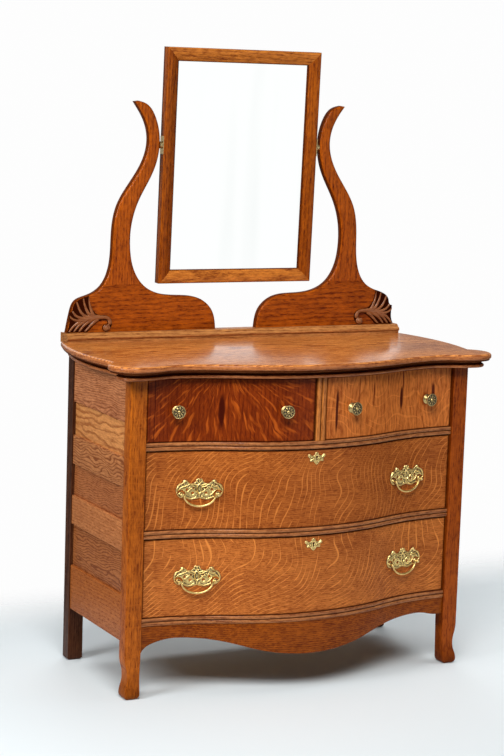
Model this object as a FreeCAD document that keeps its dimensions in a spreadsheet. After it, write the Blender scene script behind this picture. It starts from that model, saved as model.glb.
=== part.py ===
"""Serpentine-front oak dresser with a swinging mirror, in millimetres.

Frame: +Z up, the floor at Z = 0, +X to the right of a person facing the drawers,
-Y towards that person.  The origin is the middle of the space that the dresser
takes up, on the floor.  The front faces of the front posts lie in the plane
Y = FRONT; every depth below is measured back from that plane.
"""
import FreeCAD, Part
import math
import os
import re
import Sketcher

Vector = FreeCAD.Vector
doc = FreeCAD.newDocument("Dresser")

# --------------------------------------------------------------------------- sizes
SIZES = {
    # case
    "case_width": 944.0,             # over the outer faces of the posts
    "case_depth": 400.0,             # front of front post to back of rear post
    "post_width": 43.0,
    "post_depth": 36.0,
    "post_edge_radius": 3.0,
    "rear_post_width": 40.0,
    "rear_post_depth": 35.0,
    "rear_foot_chamfer": 5.0,
    "foot_ankle_height": 48.0,       # narrowest place of the foot
    "foot_swell_height": 96.0,       # where the curve leaves the straight post
    "foot_ankle_inset": 11.0,
    "foot_toe_inset": 2.0,
    "foot_sole_radius": 9.0,
    # framed sides
    "side_rail_inset": 3.0,          # rail face behind the post face
    "side_rail_thickness": 18.0,
    "side_panel_inset": 6.0,         # panel face behind the rail face
    "side_panel_thickness": 7.0,
    "panel_tongue": 6.0,             # panel edge inside its grooves
    "groove_clearance": 0.3,
    "side_bottom_rail_base": 139.0,
    "side_bottom_rail_height": 114.0,
    "side_lower_panel_height": 108.0,
    "side_rail_height": 74.0,
    "side_middle_panel_height": 82.0,
    "side_top_rail_height": 110.0,
    # serpentine front
    "front_bulge": 83.5,             # how far the middle stands before the ends
    "curve_tuck": 8.0,               # the curve runs on this far behind each post
    "rail_setback": 3.0,             # rail face behind the post face, at the ends
    "drawer_rail_thickness": 20.0,
    "drawer_rail_depth": 45.0,       # back edge of the rails behind the post face
    "rail_bead_radius": 2.0,
    "bead_groove_width": 3.6,        # between the two beads of a rail
    "bead_groove_depth": 2.2,
    "lower_rail_base": 177.5,
    "wide_drawer_opening": 196.0,
    "small_drawer_opening": 157.5,
    "divider_width": 27.0,
    "divider_depth": 30.0,
    "apron_inset": 3.0,              # behind the face of the rails
    "apron_thickness": 20.0,
    "apron_centre_height": 93.0,     # lower edge above the floor
    "apron_crest_height": 145.5,
    "apron_crest_inset": 86.0,       # from the post
    "apron_ear_height": 130.5,
    "apron_ear_inset": 21.0,         # from the post
    # top
    "moulding_height": 18.0,
    "moulding_inset": 18.0,          # bead behind the edge of the board
    "moulding_cove_inset": 25.0,
    "moulding_bead_height": 8.0,
    "moulding_bead_radius": 3.5,
    "board_thickness": 18.0,
    "board_lip_height": 5.0,
    "board_lip_inset": 4.0,
    "board_edge_radius": 5.5,
    "board_lower_radius": 2.5,
    "top_overhang": 31.0,            # beyond the serpentine of the drawers
    "top_rear_overhang": 26.0,       # behind the rear posts
    "lobe_inset": 2.0,               # middle of each rounded corner inside the post's outer face
    "lobe_front": 58.0,              # its foremost point before the post face
    "lobe_radius": 59.0,
    "lobe_turn": 57.0,               # degrees from the side of the lobe to the notch
    "valley_radius": 123.0,
    "valley_lead": 97.0,             # where the valley starts, before the end of the curve
    "side_overhang": 47.0,           # where the side swells most
    "side_swell_depth": 170.0,
    "rear_corner_overhang": 12.0,
    # back and inner frame
    "back_panel_thickness": 8.0,
    "back_rail_thickness": 15.0,
    "back_rail_height": 45.0,
    "back_panel_base": 139.0,
    "runner_lap": 20.0,              # runner under the drawer, inside the opening
    "guide_height": 20.0,
    "runner_thickness": 18.0,
    "centre_runner_width": 62.0,
    "centre_guide_width": 20.0,
    "centre_guide_height": 22.0,
    # drawers
    "drawer_face_setback": 5.0,      # face behind the face of the rails
    "drawer_front_thickness": 22.0,
    "drawer_side_gap": 2.5,
    "drawer_top_gap": 2.5,
    "runner_gap": 0.3,
    "drawer_side_thickness": 12.0,
    "drawer_side_drop": 12.0,        # sides lower than the front
    "drawer_back_thickness": 10.0,
    "drawer_back_gap": 14.0,         # behind a closed drawer
    "drawer_bottom_thickness": 6.0,
    "drawer_bottom_lift": 10.0,
    # brass
    "knob_inner_reach": 92.0,
    "knob_outer_inset": 78.0,        # from the post
    "knob_drop": 2.5,                # below the middle of the opening
    "knob_radius": 16.5,
    "knob_rose_radius": 12.5,
    "knob_rose_thickness": 2.0,
    "knob_neck_radius": 5.5,
    "knob_length": 24.0,
    "pull_inset": 138.0,             # from the post
    "plate_width": 119.0,
    "plate_height": 53.0,
    "plate_thickness": 2.4,
    "plate_standoff": 0.3,
    "pull_lift": 1.5,                # plate middle above the middle of the drawer
    "bail_span": 92.0,               # between the two posts
    "bail_drop": 29.0,               # middle of the rod below the pivot
    "bail_rod_radius": 2.5,
    "bail_end_radius": 6.0,          # where the bow turns out into the post
    "bail_axis_offset": 9.5,         # pivot before the face of the drawer
    "bail_pivot_drop": 12.0,         # pivot below the middle of the plate
    "pull_post_radius": 4.3,
    "pull_post_length": 14.0,
    "pivot_clearance": 0.35,
    "escutcheon_width": 48.0,
    "escutcheon_height": 32.0,
    "escutcheon_thickness": 1.8,
    "escutcheon_drop": 20.5,         # its middle below the top of the drawer front
    "keyhole_radius": 3.0,
    # locks
    "lock_offset": -6.0,             # the locks sit a little left of the middle
    "lock_width": 60.0,
    "lock_height": 40.0,
    "lock_depth": 9.0,
    "lock_clearance": 0.3,
    "bolt_width": 20.0,
    "bolt_thickness": 5.0,
    "bolt_length": 24.0,
    "bolt_throw": 8.0,
    "mortise_clearance": 0.8,
    # mirror stand
    "base_rail_margin": 8.0,         # beyond the foot of the leaf
    "base_rail_lead": 20.5,          # its lower front edge before the stand
    "base_rail_height": 23.5,
    "base_rail_slope": 8.0,
    "base_rail_bead_radius": 4.0,
    "stand_lag": 0.5,                # front faces of arms and shoulders behind the case
    "stand_reach": 246.0,            # foot of a shoulder beyond the waist of the arm
    "arm_tip_rise": 111.0,           # tip of an arm above the pivots
    "stand_thickness": 22.0,
    "shoulder_height": 121.0,
    "leaf_relief": 7.0,
    "leaf_height": 94.0,
    "arm_gap": 10.0,                 # between the arms and the mirror
    # mirror
    "mirror_width": 444.0,
    "mirror_height": 606.0,
    "mirror_above_pivot": 249.0,
    "mirror_member_width": 35.0,
    "mirror_member_thickness": 27.0,
    "mirror_edge": 4.0,              # slope from the outer edge to the flat of a member
    "mirror_flat": 11.0,             # outer edge to the end of the flat
    "mirror_sight_edge": 4.0,        # face of a member beside the glass, before its middle
    "mirror_lean": 2.0,              # degrees that the top hangs forward at rest
    "glass_thickness": 4.0,
    "glass_rebate": 8.0,
    "glass_clearance": 0.5,
    "mirror_back_thickness": 5.0,
    "shoulder_crown": 95.0,          # top of the shoulders below the mirror
    "mirror_clearance": 25.0,        # from there to the mirror, less its lean
    "pivot_radius": 4.0,
    "pin_clearance": 0.15,           # round the pin in the arm, where it is driven in
    "pivot_bite": 14.0,              # pin inside the stile
    "pivot_hold": 24.0,              # pin inside the arm
    "pivot_collar_radius": 9.0,
    "collar_gap": 0.4,               # collar to the arm, and to the plate
    "pivot_plate_thickness": 2.5,
    "pivot_plate_height": 46.0,
    "pivot_plate_width": 18.0,
    # sketches that cut
    "cut_margin": 10.0,              # beyond what they cut
}

# ------------------------------------------------------------- sheet and expressions
WORD = re.compile(r"[a-z][a-z0-9_]*")
sheet = doc.addObject("Spreadsheet::Sheet", "dims")
for row, (alias, value) in enumerate(SIZES.items(), 1):
    sheet.set("A%d" % row, alias)
    sheet.set("B%d" % row, str(value))
    sheet.setAlias("B%d" % row, alias)
doc.recompute()


def full(text):
    """The expression with every size written as its cell in the sheet."""
    return WORD.sub(lambda word: "dims." + word[0] if word[0] in SIZES else word[0], str(text))


def num(text):
    """The present value of an expression over the sizes."""
    return float(sheet.evalExpression(full(text)))


def bind(thing, path, text):
    """Tie a property of an object to an expression over the sizes."""
    thing.setExpression(path, full(text))


# Places that several pieces share.
OPENING = "(case_width / 2 - post_width)"
SPAN = "(case_width / 2 - post_width + curve_tuck)"
CURVE = "((" + SPAN + "^2 + front_bulge^2) / (4 * front_bulge))"
STAND_FRONT = "(case_depth + stand_lag)"
PIVOT_DEPTH = "(" + STAND_FRONT + " + stand_thickness / 2)"
REAR_FACE = "(case_depth - rear_post_depth)"
SIDE_INNER = "(case_width / 2 - side_rail_inset - side_rail_thickness)"
LOWER_BASE = "(lower_rail_base + drawer_rail_thickness)"
MIDDLE_RAIL = "(" + LOWER_BASE + " + wide_drawer_opening)"
MIDDLE_BASE = "(" + MIDDLE_RAIL + " + drawer_rail_thickness)"
UPPER_RAIL = "(" + MIDDLE_BASE + " + wide_drawer_opening)"
UPPER_BASE = "(" + UPPER_RAIL + " + drawer_rail_thickness)"
CARCASS = "(" + UPPER_BASE + " + small_drawer_opening)"
BOARD_BASE = "(" + CARCASS + " + moulding_height)"
TOP = "(" + BOARD_BASE + " + board_thickness)"
STAND_BASE = "(" + TOP + " + base_rail_height)"
PIVOT_RISE = "(shoulder_crown + mirror_clearance + mirror_height - mirror_above_pivot)"
PIVOT_HEIGHT = "(" + STAND_BASE + " + " + PIVOT_RISE + ")"
STAND_HEIGHT = "(" + PIVOT_RISE + " + arm_tip_rise)"
FACE_SETBACK = "(rail_setback + drawer_face_setback)"
FRONT_BACK = "(rail_setback + drawer_face_setback + drawer_front_thickness)"
DRAWER_END = "(" + REAR_FACE + " - drawer_back_gap)"
MIRROR_REAR = ("(" + PIVOT_DEPTH + " + mirror_member_thickness / 2 * cos(mirror_lean)"
               " + (mirror_height - mirror_above_pivot) * sin(mirror_lean))")
FRONT = "(-(" + MIRROR_REAR + " - front_bulge - top_overhang) / 2)"
WAIST = "(mirror_width / 2 + arm_gap)"

# ---------------------------------------------------------------- document helpers
NODES = []


def keep(thing, label):
    """Name an object after its node and mark it to be written."""
    thing.Label = label
    NODES.append(thing)
    return thing


def group(label, members):
    """One node made of several separate pieces."""
    compound = doc.addObject("Part::Compound", label)
    compound.Links = members
    return keep(compound, label)


def new_body(label, x="0", depth="0", z="0"):
    """An empty body at X, at a depth behind the post faces, and at Z."""
    body = doc.addObject("PartDesign::Body", label)
    body.Label = label
    bind(body, ".Placement.Base.x", x)
    bind(body, ".Placement.Base.y", FRONT + " + " + str(depth))
    bind(body, ".Placement.Base.z", z)
    return body


def new_sketch(body, role="XY_Plane", offset=None):
    """An empty sketch on one of the body's own origin planes."""
    sketch = body.newObject("Sketcher::SketchObject", body.Name + "_sketch")
    plane = next(item for item in body.Origin.OriginFeatures if item.Role == role)
    sketch.AttachmentSupport = [(plane, "")]
    sketch.MapMode = "FlatFace"
    if offset is not None:
        bind(sketch, ".AttachmentOffset.Base.z", offset)
    return sketch


def draw(sketch, curves):
    """Add curves that run head to tail and join them; return their numbers."""
    numbers = [sketch.addGeometry(curve, False) for curve in curves]
    for first, second in zip(numbers, numbers[1:] + numbers[:1]):
        for end, start in ((2, 1), (2, 2), (1, 1), (1, 2)):
            gap = sketch.getPoint(first, end) - sketch.getPoint(second, start)
            if gap.Length < 1e-6 and first != second:
                sketch.addConstraint(Sketcher.Constraint("Coincident", first, end, second, start))
                break
    return numbers


def tie(sketch, kind, targets, text):
    """A dimension of the sketch that follows an expression."""
    value = num(text)
    number = sketch.addConstraint(Sketcher.Constraint(kind, *targets, value))
    bind(sketch, "Constraints[%d]" % number, text)


def line(start, end):
    return Part.LineSegment(Vector(*start, 0), Vector(*end, 0))


def arc(centre, radius, first, last):
    """Arc about a centre between two angles in radians, in either direction."""
    def at(angle):
        return Vector(centre[0] + radius * math.cos(angle), centre[1] + radius * math.sin(angle), 0)
    return Part.Arc(at(first), at((first + last) / 2), at(last))


def polygon(points):
    """Closed outline of straight lines."""
    return [line(a, b) for a, b in zip(points, points[1:] + points[:1])]


def smooth(points):
    """Spline through a few points."""
    curve = Part.BSplineCurve()
    curve.interpolate(Points=[Vector(x, y, 0) for x, y in points])
    return curve


def s_curve(start, end):
    """Two equal tangent arcs between points where the line runs level."""
    (x0, y0), (x1, y1) = start, end
    wide, high = x1 - x0, y1 - y0
    radius = (wide ** 2 + high ** 2) / (4 * abs(high))
    turn = math.asin(abs(wide) / 2 / radius)
    way = math.copysign(1, wide)
    rise = math.copysign(1, high)
    lower, upper = (x0, y0 + rise * radius), (x1, y1 - rise * radius)
    foot = -rise * math.pi / 2
    return [arc(lower, radius, foot, foot + way * rise * turn),
            arc(upper, radius, -foot + way * rise * turn, -foot)]


def upright_s_curve(start, end):
    """The same between points where the line runs upright."""
    curves = []
    for curve in s_curve(start[::-1], end[::-1]):
        middle = (curve.FirstParameter + curve.LastParameter) / 2
        spots = [curve.value(at) for at in (curve.FirstParameter, middle, curve.LastParameter)]
        curves.append(Part.Arc(*[Vector(spot.y, spot.x, 0) for spot in spots]))
    return curves


def mirrored(curves):
    """The same outline on the other side of the middle, run backwards."""
    result = []
    for curve in reversed(curves):
        if isinstance(curve, Part.BSplineCurve):
            twin = curve.copy()
            for number, pole in enumerate(curve.getPoles(), 1):
                twin.setPole(number, Vector(-pole.x, pole.y, 0))
            twin.reverse()
        else:
            middle = (curve.FirstParameter + curve.LastParameter) / 2
            spots = [curve.value(at) for at in (curve.LastParameter, middle, curve.FirstParameter)]
            spots = [Vector(-spot.x, spot.y, 0) for spot in spots]
            straight = isinstance(curve, Part.LineSegment)
            twin = Part.LineSegment(spots[0], spots[2]) if straight else Part.Arc(*spots)
        result.append(twin)
    return result


def circle_at(sketch, centre, radius):
    """A circle whose radius follows an expression."""
    number = sketch.addGeometry(Part.Circle(Vector(*centre, 0), Vector(0, 0, 1), num(radius)), False)
    tie(sketch, "Radius", (number,), radius)


def rectangle(sketch, width, depth, x="0", y="0"):
    """A rectangle whose size and low corner follow expressions."""
    x0, y0, wide, deep = num(x), num(y), num(width), num(depth)
    numbers = draw(sketch, polygon([(x0, y0), (x0 + wide, y0), (x0 + wide, y0 + deep), (x0, y0 + deep)]))
    for number, kind in zip(numbers, ("Horizontal", "Vertical", "Horizontal", "Vertical")):
        sketch.addConstraint(Sketcher.Constraint(kind, number))
    tie(sketch, "DistanceX", (numbers[0], 1, numbers[0], 2), width)
    tie(sketch, "DistanceY", (numbers[1], 1, numbers[1], 2), depth)
    return numbers


def pad(body, sketch, length, back=False, middle=False):
    """Extrude a sketch along its normal, against it, or both ways."""
    feature = body.newObject("PartDesign::Pad", body.Name + "_pad")
    feature.Profile = sketch
    bind(feature, "Length", length)
    feature.Reversed = back
    feature.Midplane = middle
    return feature


def pocket(body, sketch, length, back=False, middle=False):
    """Cut a sketch into the body, against its normal unless turned back."""
    feature = body.newObject("PartDesign::Pocket", body.Name + "_pocket")
    feature.Profile = sketch
    bind(feature, "Length", length)
    feature.Reversed = back
    feature.Midplane = middle
    return feature


def edges_where(feature, wanted):
    """Names of the edges whose middle passes a test."""
    doc.recompute()
    names = []
    for number, edge in enumerate(feature.Shape.Edges, 1):
        middle = edge.valueAt((edge.FirstParameter + edge.LastParameter) / 2)
        if wanted(middle, edge):
            names.append("Edge%d" % number)
    return names


def ease(body, feature, wanted, size, kind="Fillet"):
    """Round or chamfer the edges that pass a test."""
    names = edges_where(feature, wanted)
    finish = body.newObject("PartDesign::" + kind, body.Name + "_ease")
    finish.Base = (feature, names)
    bind(finish, "Radius" if kind == "Fillet" else "Size", size)
    return finish


def board(label, width, depth, height, x, y, z):
    """A plain rectangular board with its low corner at a place."""
    body = new_body(label, x, y, z)
    sketch = new_sketch(body)
    rectangle(sketch, width, depth)
    pad(body, sketch, height)
    return body


def low_end(side, inner, outer):
    """Lower X of a piece that spans two distances from the middle."""
    return inner if side > 0 else "-(" + outer + ")"


SIDES = ((-1, "left"), (1, "right"))

# ----------------------------------------------------------------- serpentine front


def front_depth(reach, forward):
    """Depth of the serpentine at a distance from the middle; forward is towards -Y."""
    span, radius, bulge = num(SPAN), num(CURVE), num("front_bulge")
    if abs(reach) < span / 2 * (1 + forward / radius):
        return radius - bulge - math.sqrt((radius + forward) ** 2 - reach ** 2)
    return -radius + math.sqrt((radius - forward) ** 2 - (span - abs(reach)) ** 2)


def front_turn(reach, forward):
    """Degrees that the face turns about Z there, from facing -Y."""
    span, radius = num(SPAN), num(CURVE)
    side = math.copysign(1, reach)
    if abs(reach) < span / 2 * (1 + forward / radius):
        return math.degrees(math.asin(reach / (radius + forward)))
    return side * math.degrees(math.asin((span - abs(reach)) / (radius - forward)))


def serpentine(forward, start, end):
    """Arcs of the serpentine from one X to a larger one."""
    span, radius = num(SPAN), num(CURVE)
    meet = span / 2 * (1 + forward / radius)
    stops = [start] + [x for x in (-meet, meet) if start + 0.01 < x < end - 0.01] + [end]
    curves = []
    for low, high in zip(stops, stops[1:]):
        spots = [Vector(x, front_depth(x, forward), 0) for x in (low, (low + high) / 2, high)]
        curves.append(Part.Arc(*spots))
    return curves


def front_strip(sketch, ahead, behind, start, end, straight=None):
    """Closed outline between the serpentine and a parallel or a straight line."""
    x0, x1 = num(start), num(end)
    curves = serpentine(num(ahead), x0, x1)
    if straight is None:
        rear = serpentine(num(behind), x0, x1)
        rear_left, rear_right = front_depth(x0, num(behind)), front_depth(x1, num(behind))
    else:
        rear_left = rear_right = num(straight)
        rear = [line((x0, rear_left), (x1, rear_right))]
    curves.append(line((x1, front_depth(x1, num(ahead))), (x1, rear_right)))
    curves += rear[::-1]
    curves.append(line((x0, rear_left), (x0, front_depth(x0, num(ahead)))))
    return draw(sketch, curves)


# --------------------------------------------------------------------------- posts
def front_post(side, label):
    """Straight post whose foot curves in to an ankle on its outer side."""
    wide, tall = num("post_width"), num(CARCASS)
    sole, toe = num("foot_sole_radius"), wide - num("foot_toe_inset")
    body = new_body(label, low_end(side, OPENING, OPENING), "0", "0")
    sketch = new_sketch(body, "XZ_Plane")
    ankle = (wide - num("foot_ankle_inset"), num("foot_ankle_height"))
    swell = (wide, num("foot_swell_height"))
    outline = [line((sole, 0), (toe - sole, 0)), arc((toe - sole, sole), sole, -math.pi / 2, 0)]
    outline += upright_s_curve((toe, sole), ankle) + upright_s_curve(ankle, swell)
    outline += [line(swell, (wide, tall)), line((wide, tall), (0, tall)), line((0, tall), (0, sole)),
                arc((sole, sole), sole, math.pi, 1.5 * math.pi)]
    if side < 0:
        outline = mirrored(outline)
    draw(sketch, outline)
    solid = pad(body, sketch, "post_depth", back=True)
    doc.recompute()
    groove = new_sketch(body, "XY_Plane", CARCASS)
    near = "post_width - side_rail_inset - side_panel_inset - side_panel_thickness - groove_clearance"
    rectangle(groove, "side_panel_thickness + 2 * groove_clearance", "panel_tongue + groove_clearance + 1",
              near if side > 0 else "-(" + near + ") - side_panel_thickness - 2 * groove_clearance",
              "post_depth - panel_tongue - groove_clearance")
    cut = pocket(body, groove, CARCASS + " - side_bottom_rail_base")
    ease(body, cut, lambda at, edge: abs(at.x) < 0.01 and abs(at.y) < 0.01 and edge.Length > tall / 2,
         "post_edge_radius")
    return keep(body, label)


def rear_post(side, label):
    """Square post with a chamfered foot and a groove for the side panels."""
    inner, outer = "case_width / 2 - rear_post_width", "case_width / 2"
    body = new_body(label, low_end(side, inner, outer), REAR_FACE, "0")
    sketch = new_sketch(body)
    rectangle(sketch, "rear_post_width", "rear_post_depth")
    solid = pad(body, sketch, CARCASS)
    ease(body, solid, lambda at, edge: abs(at.z) < 0.01, "rear_foot_chamfer", "Chamfer")
    groove = new_sketch(body, "XY_Plane", CARCASS)
    near = "rear_post_width - side_rail_inset - side_panel_inset - side_panel_thickness - groove_clearance"
    far = "side_rail_inset + side_panel_inset - groove_clearance"
    rectangle(groove, "side_panel_thickness + 2 * groove_clearance", "panel_tongue + groove_clearance + 1",
              near if side > 0 else far, "-1")
    pocket(body, groove, CARCASS + " - side_bottom_rail_base")
    return keep(body, label)


# -------------------------------------------------------------------- framed sides
def side_levels():
    """Lower and upper edge of each side rail, from the floor up."""
    level = "side_bottom_rail_base"
    edges = [(level, level + " + side_bottom_rail_height")]
    for panel in ("side_lower_panel_height", "side_middle_panel_height"):
        level = edges[-1][1] + " + " + panel
        edges.append((level, level + " + side_rail_height"))
    edges.append((CARCASS + " - side_top_rail_height", CARCASS))
    return edges


def side_frame(side, word):
    """Four rails and three panels between the posts of one side."""
    levels = side_levels()
    length = REAR_FACE + " - post_depth"
    thick = num("side_rail_thickness")
    near = num("side_panel_inset - groove_clearance")
    far = num("side_panel_inset + side_panel_thickness + groove_clearance")
    deep = num("panel_tongue + groove_clearance")
    rails = []
    for number, (base, top) in enumerate(levels):
        body = new_body("side_rail_%s_%d" % (word, number + 1), "0", "post_depth", base)
        high = num("(" + top + ") - (" + base + ")")
        outline = [(0, 0)]
        if number > 0:
            outline += [(near, 0), (near, deep), (far, deep), (far, 0)]
        outline += [(thick, 0), (thick, high)]
        if number < len(levels) - 1:
            outline += [(far, high), (far, high - deep), (near, high - deep), (near, high)]
        outline.append((0, high))
        shift = num("case_width / 2 - side_rail_inset")
        sketch = new_sketch(body, "XZ_Plane")
        draw(sketch, polygon([(side * (shift - x), z) for x, z in outline]))
        pad(body, sketch, length, back=True)
        rails.append(body)
    group("side_rails_" + word, rails)
    panels = []
    inner = "case_width / 2 - side_rail_inset - side_panel_inset - side_panel_thickness"
    outer = "case_width / 2 - side_rail_inset - side_panel_inset"
    for number, (below, above) in enumerate(zip(levels, levels[1:])):
        panels.append(board("side_panel_%s_%d" % (word, number + 1), "side_panel_thickness",
                            length + " + 2 * panel_tongue",
                            "(" + above[0] + ") - (" + below[1] + ") + 2 * panel_tongue",
                            low_end(side, inner, outer), "post_depth - panel_tongue",
                            below[1] + " - panel_tongue"))
    group("side_panels_" + word, panels)


# ------------------------------------------------------------- front rails and apron
def drawer_rail(label, base, mortised):
    """Rail with two beads along its serpentine front and a mortise for a lock bolt."""
    body = new_body(label, "0", "0", base)
    sketch = new_sketch(body)
    front_strip(sketch, "-rail_setback", None, "-" + OPENING, OPENING, straight="drawer_rail_depth")
    pad(body, sketch, "drawer_rail_thickness")
    doc.recompute()
    groove = new_sketch(body, "XY_Plane", "(drawer_rail_thickness - bead_groove_width) / 2")
    front_strip(groove, "rail_setback", "-rail_setback - bead_groove_depth", "-" + OPENING, OPENING)
    solid = pocket(body, groove, "bead_groove_width", back=True)
    reach = num(OPENING) - 1
    face = -num("rail_setback")
    solid = ease(body, solid, lambda at, edge: edge.Curve.TypeId == "Part::GeomCircle" and abs(at.x) < reach
                 and abs(at.y - front_depth(at.x, face)) < 0.01, "rail_bead_radius")
    if mortised:
        hole = new_sketch(body)
        rectangle(hole, "bolt_width + 2 * mortise_clearance", "bolt_thickness + 2 * mortise_clearance",
                  "lock_offset - bolt_width / 2 - mortise_clearance",
                  BOLT_DEPTH + " - bolt_thickness / 2 - mortise_clearance")
        pocket(body, hole, "bolt_throw - drawer_top_gap + 2 * mortise_clearance", back=True)
    return keep(body, label)


BOLT_DEPTH = "(" + FRONT_BACK + " - front_bulge - lock_depth / 2)"


def divider():
    """Upright between the two upper drawers, with the same two beads as the rails."""
    body = new_body("drawer_divider", "0", "0", UPPER_BASE)
    sketch = new_sketch(body)
    front_strip(sketch, "-rail_setback", None, "-divider_width / 2", "divider_width / 2",
                straight="divider_depth - front_bulge")
    pad(body, sketch, "small_drawer_opening")
    doc.recompute()
    groove = new_sketch(body)
    front_strip(groove, "rail_setback", "-rail_setback - bead_groove_depth", "-bead_groove_width / 2",
                "bead_groove_width / 2")
    solid = pocket(body, groove, "small_drawer_opening", back=True)
    face = -num("rail_setback")
    ease(body, solid, lambda at, edge: edge.Curve.TypeId == "Part::GeomLine"
         and abs(at.z - num("small_drawer_opening / 2")) < 1
         and abs(at.y - front_depth(at.x, face)) < 0.01, "rail_bead_radius")
    return keep(body, "drawer_divider")


def apron():
    """Serpentine board whose lower edge sweeps down in the middle."""
    body = new_body("apron")
    sketch = new_sketch(body, "XY_Plane", "apron_centre_height")
    front_strip(sketch, "-rail_setback - apron_inset", "-rail_setback - apron_inset - apron_thickness",
                "-" + OPENING, OPENING)
    pad(body, sketch, "lower_rail_base - apron_centre_height")
    doc.recompute()
    end = num(OPENING)
    centre = (0, num("apron_centre_height"))
    crest = (end - num("apron_crest_inset"), num("apron_crest_height"))
    ear = (end - num("apron_ear_inset"), num("apron_ear_height"))
    half = s_curve(centre, crest) + s_curve(crest, ear)
    radius = ((ear[0] - crest[0]) ** 2 + (ear[1] - crest[1]) ** 2) / (4 * abs(ear[1] - crest[1]))
    last = math.asin((end - ear[0]) / radius)
    half.append(arc((ear[0], ear[1] + radius), radius, -math.pi / 2, -math.pi / 2 + last))
    tip = (end, ear[1] + radius - radius * math.cos(last))
    spare = num("cut_margin")
    floor = centre[1] - spare
    edge = mirrored(half) + half
    beyond = end + spare
    edge += [line(tip, (beyond, tip[1])), line((beyond, tip[1]), (beyond, floor)),
             line((beyond, floor), (-beyond, floor)),
             line((-beyond, floor), (-beyond, tip[1])), line((-beyond, tip[1]), (-tip[0], tip[1]))]
    below = new_sketch(body, "XZ_Plane")
    draw(below, edge)
    pocket(body, below, "4 * front_bulge", middle=True)
    return keep(body, "apron")


# ----------------------------------------------------------------------------- top
def circles_meet(first, r1, second, r2, near):
    """The crossing of two circles that lies nearer to a point."""
    dx, dy = second[0] - first[0], second[1] - first[1]
    gap = math.hypot(dx, dy)
    along = (gap ** 2 + r1 ** 2 - r2 ** 2) / (2 * gap)
    across = math.sqrt(r1 ** 2 - along ** 2)
    foot = (first[0] + along * dx / gap, first[1] + along * dy / gap)
    spots = [(foot[0] - way * across * dy / gap, foot[1] + way * across * dx / gap) for way in (-1, 1)]
    return min(spots, key=lambda spot: math.dist(spot, near))


def circle_through(a, b, c):
    """Centre and radius of the circle through three points."""
    circle = Part.Circle(Vector(*a, 0), Vector(*b, 0), Vector(*c, 0))
    return (circle.Center.x, circle.Center.y), circle.Radius


def angle_at(centre, spot):
    return math.atan2(spot[1] - centre[1], spot[0] - centre[0])


def top_outline(inset):
    """Half outline of the top, from the middle of the front to the back corner.

    It is the serpentine of the drawers moved forward, then a valley, a round lobe at
    the corner, a notch, and a side that swells and tapers to the back.  An inset
    changes each radius and keeps every centre, so that all outlines stay parallel.
    """
    span, radius, bulge = num(SPAN), num(CURVE), num("front_bulge")
    ahead = num("top_overhang")
    meet = span / 2 * (1 + (ahead - inset) / radius)
    ends = (span, -radius)
    turn = math.asin(num("valley_lead") / (radius - ahead))
    valley_radius = num("valley_radius")
    valley = (ends[0] - (radius - ahead - valley_radius) * math.sin(turn),
              ends[1] + (radius - ahead - valley_radius) * math.cos(turn))
    lobe_x = num("case_width / 2 - lobe_inset")
    lobe_front, lobe_radius = -num("lobe_front"), num("lobe_radius")
    drop, across = lobe_front - valley[1], lobe_x - valley[0]
    shoulder_radius = (across ** 2 + drop ** 2 - valley_radius ** 2) / (2 * (valley_radius - drop))
    shoulder = (lobe_x, lobe_front + shoulder_radius)
    lobe = (lobe_x, lobe_front + lobe_radius)
    notch_turn = math.radians(num("lobe_turn"))
    notch = (lobe[0] + lobe_radius * math.cos(notch_turn), lobe[1] + lobe_radius * math.sin(notch_turn))
    rear = num("case_depth + top_rear_overhang")
    swell = (num("case_width / 2 + side_overhang"), num("side_swell_depth"))
    side, side_radius = circle_through(notch, swell, (num("case_width / 2 + rear_corner_overhang"), rear))
    notch = circles_meet(lobe, lobe_radius - inset, side, side_radius - inset, notch)
    corner = (side[0] + math.sqrt((side_radius - inset) ** 2 - (rear - side[1]) ** 2), rear)
    front = (0, radius - bulge)
    valley_start, valley_end = math.pi / 2 + turn, angle_at(valley, shoulder)
    return [arc(front, radius + ahead - inset, -math.pi / 2,
                -math.acos(meet / (radius + ahead - inset))),
            arc(ends, radius - ahead + inset, math.pi - math.acos((span - meet) / (radius - ahead + inset)),
                math.pi / 2 + turn),
            arc(valley, valley_radius + inset, valley_start, valley_end),
            arc(shoulder, shoulder_radius - inset, valley_end - math.pi, -math.pi / 2),
            arc(lobe, lobe_radius - inset, -math.pi / 2, angle_at(lobe, notch)),
            arc(side, side_radius - inset, angle_at(side, notch), angle_at(side, corner))]


def draw_top(sketch, inset):
    """The whole outline of the top, closed by its straight back edge."""
    half = top_outline(num(inset))
    corner = half[-1].value(half[-1].LastParameter)
    if abs(corner.y - num("case_depth + top_rear_overhang")) > 1:
        corner = half[-1].value(half[-1].FirstParameter)
    draw(sketch, half + [line((corner.x, corner.y), (-corner.x, corner.y))] + mirrored(half))


def under_moulding():
    """Open frame under the board with a cove above and a bead below."""
    body = new_body("top_under_moulding", "0", "0", CARCASS)
    core = new_sketch(body)
    draw_top(core, "moulding_cove_inset")
    pad(body, core, "moulding_height")
    bead = new_sketch(body)
    draw_top(bead, "moulding_inset")
    solid = pad(body, bead, "moulding_bead_height")
    doc.recompute()
    inside = new_sketch(body)
    rectangle(inside, "2 * " + OPENING, REAR_FACE + " - post_depth", "-" + OPENING, "post_depth")
    cut = pocket(body, inside, "moulding_height", back=True)
    rear = num("case_depth + top_rear_overhang")
    high = num("moulding_bead_height")

    def on_bead(at, edge):
        outside = at.y < rear - 1 and (abs(at.x) > num(OPENING) + 1 or at.y < num("post_depth") - 1)
        return outside and (abs(at.z) < 0.01 or abs(at.z - high) < 0.01) and is_outer(at, "moulding_inset")
    ease(body, cut, on_bead, "moulding_bead_radius")
    return keep(body, "top_under_moulding")


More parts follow.
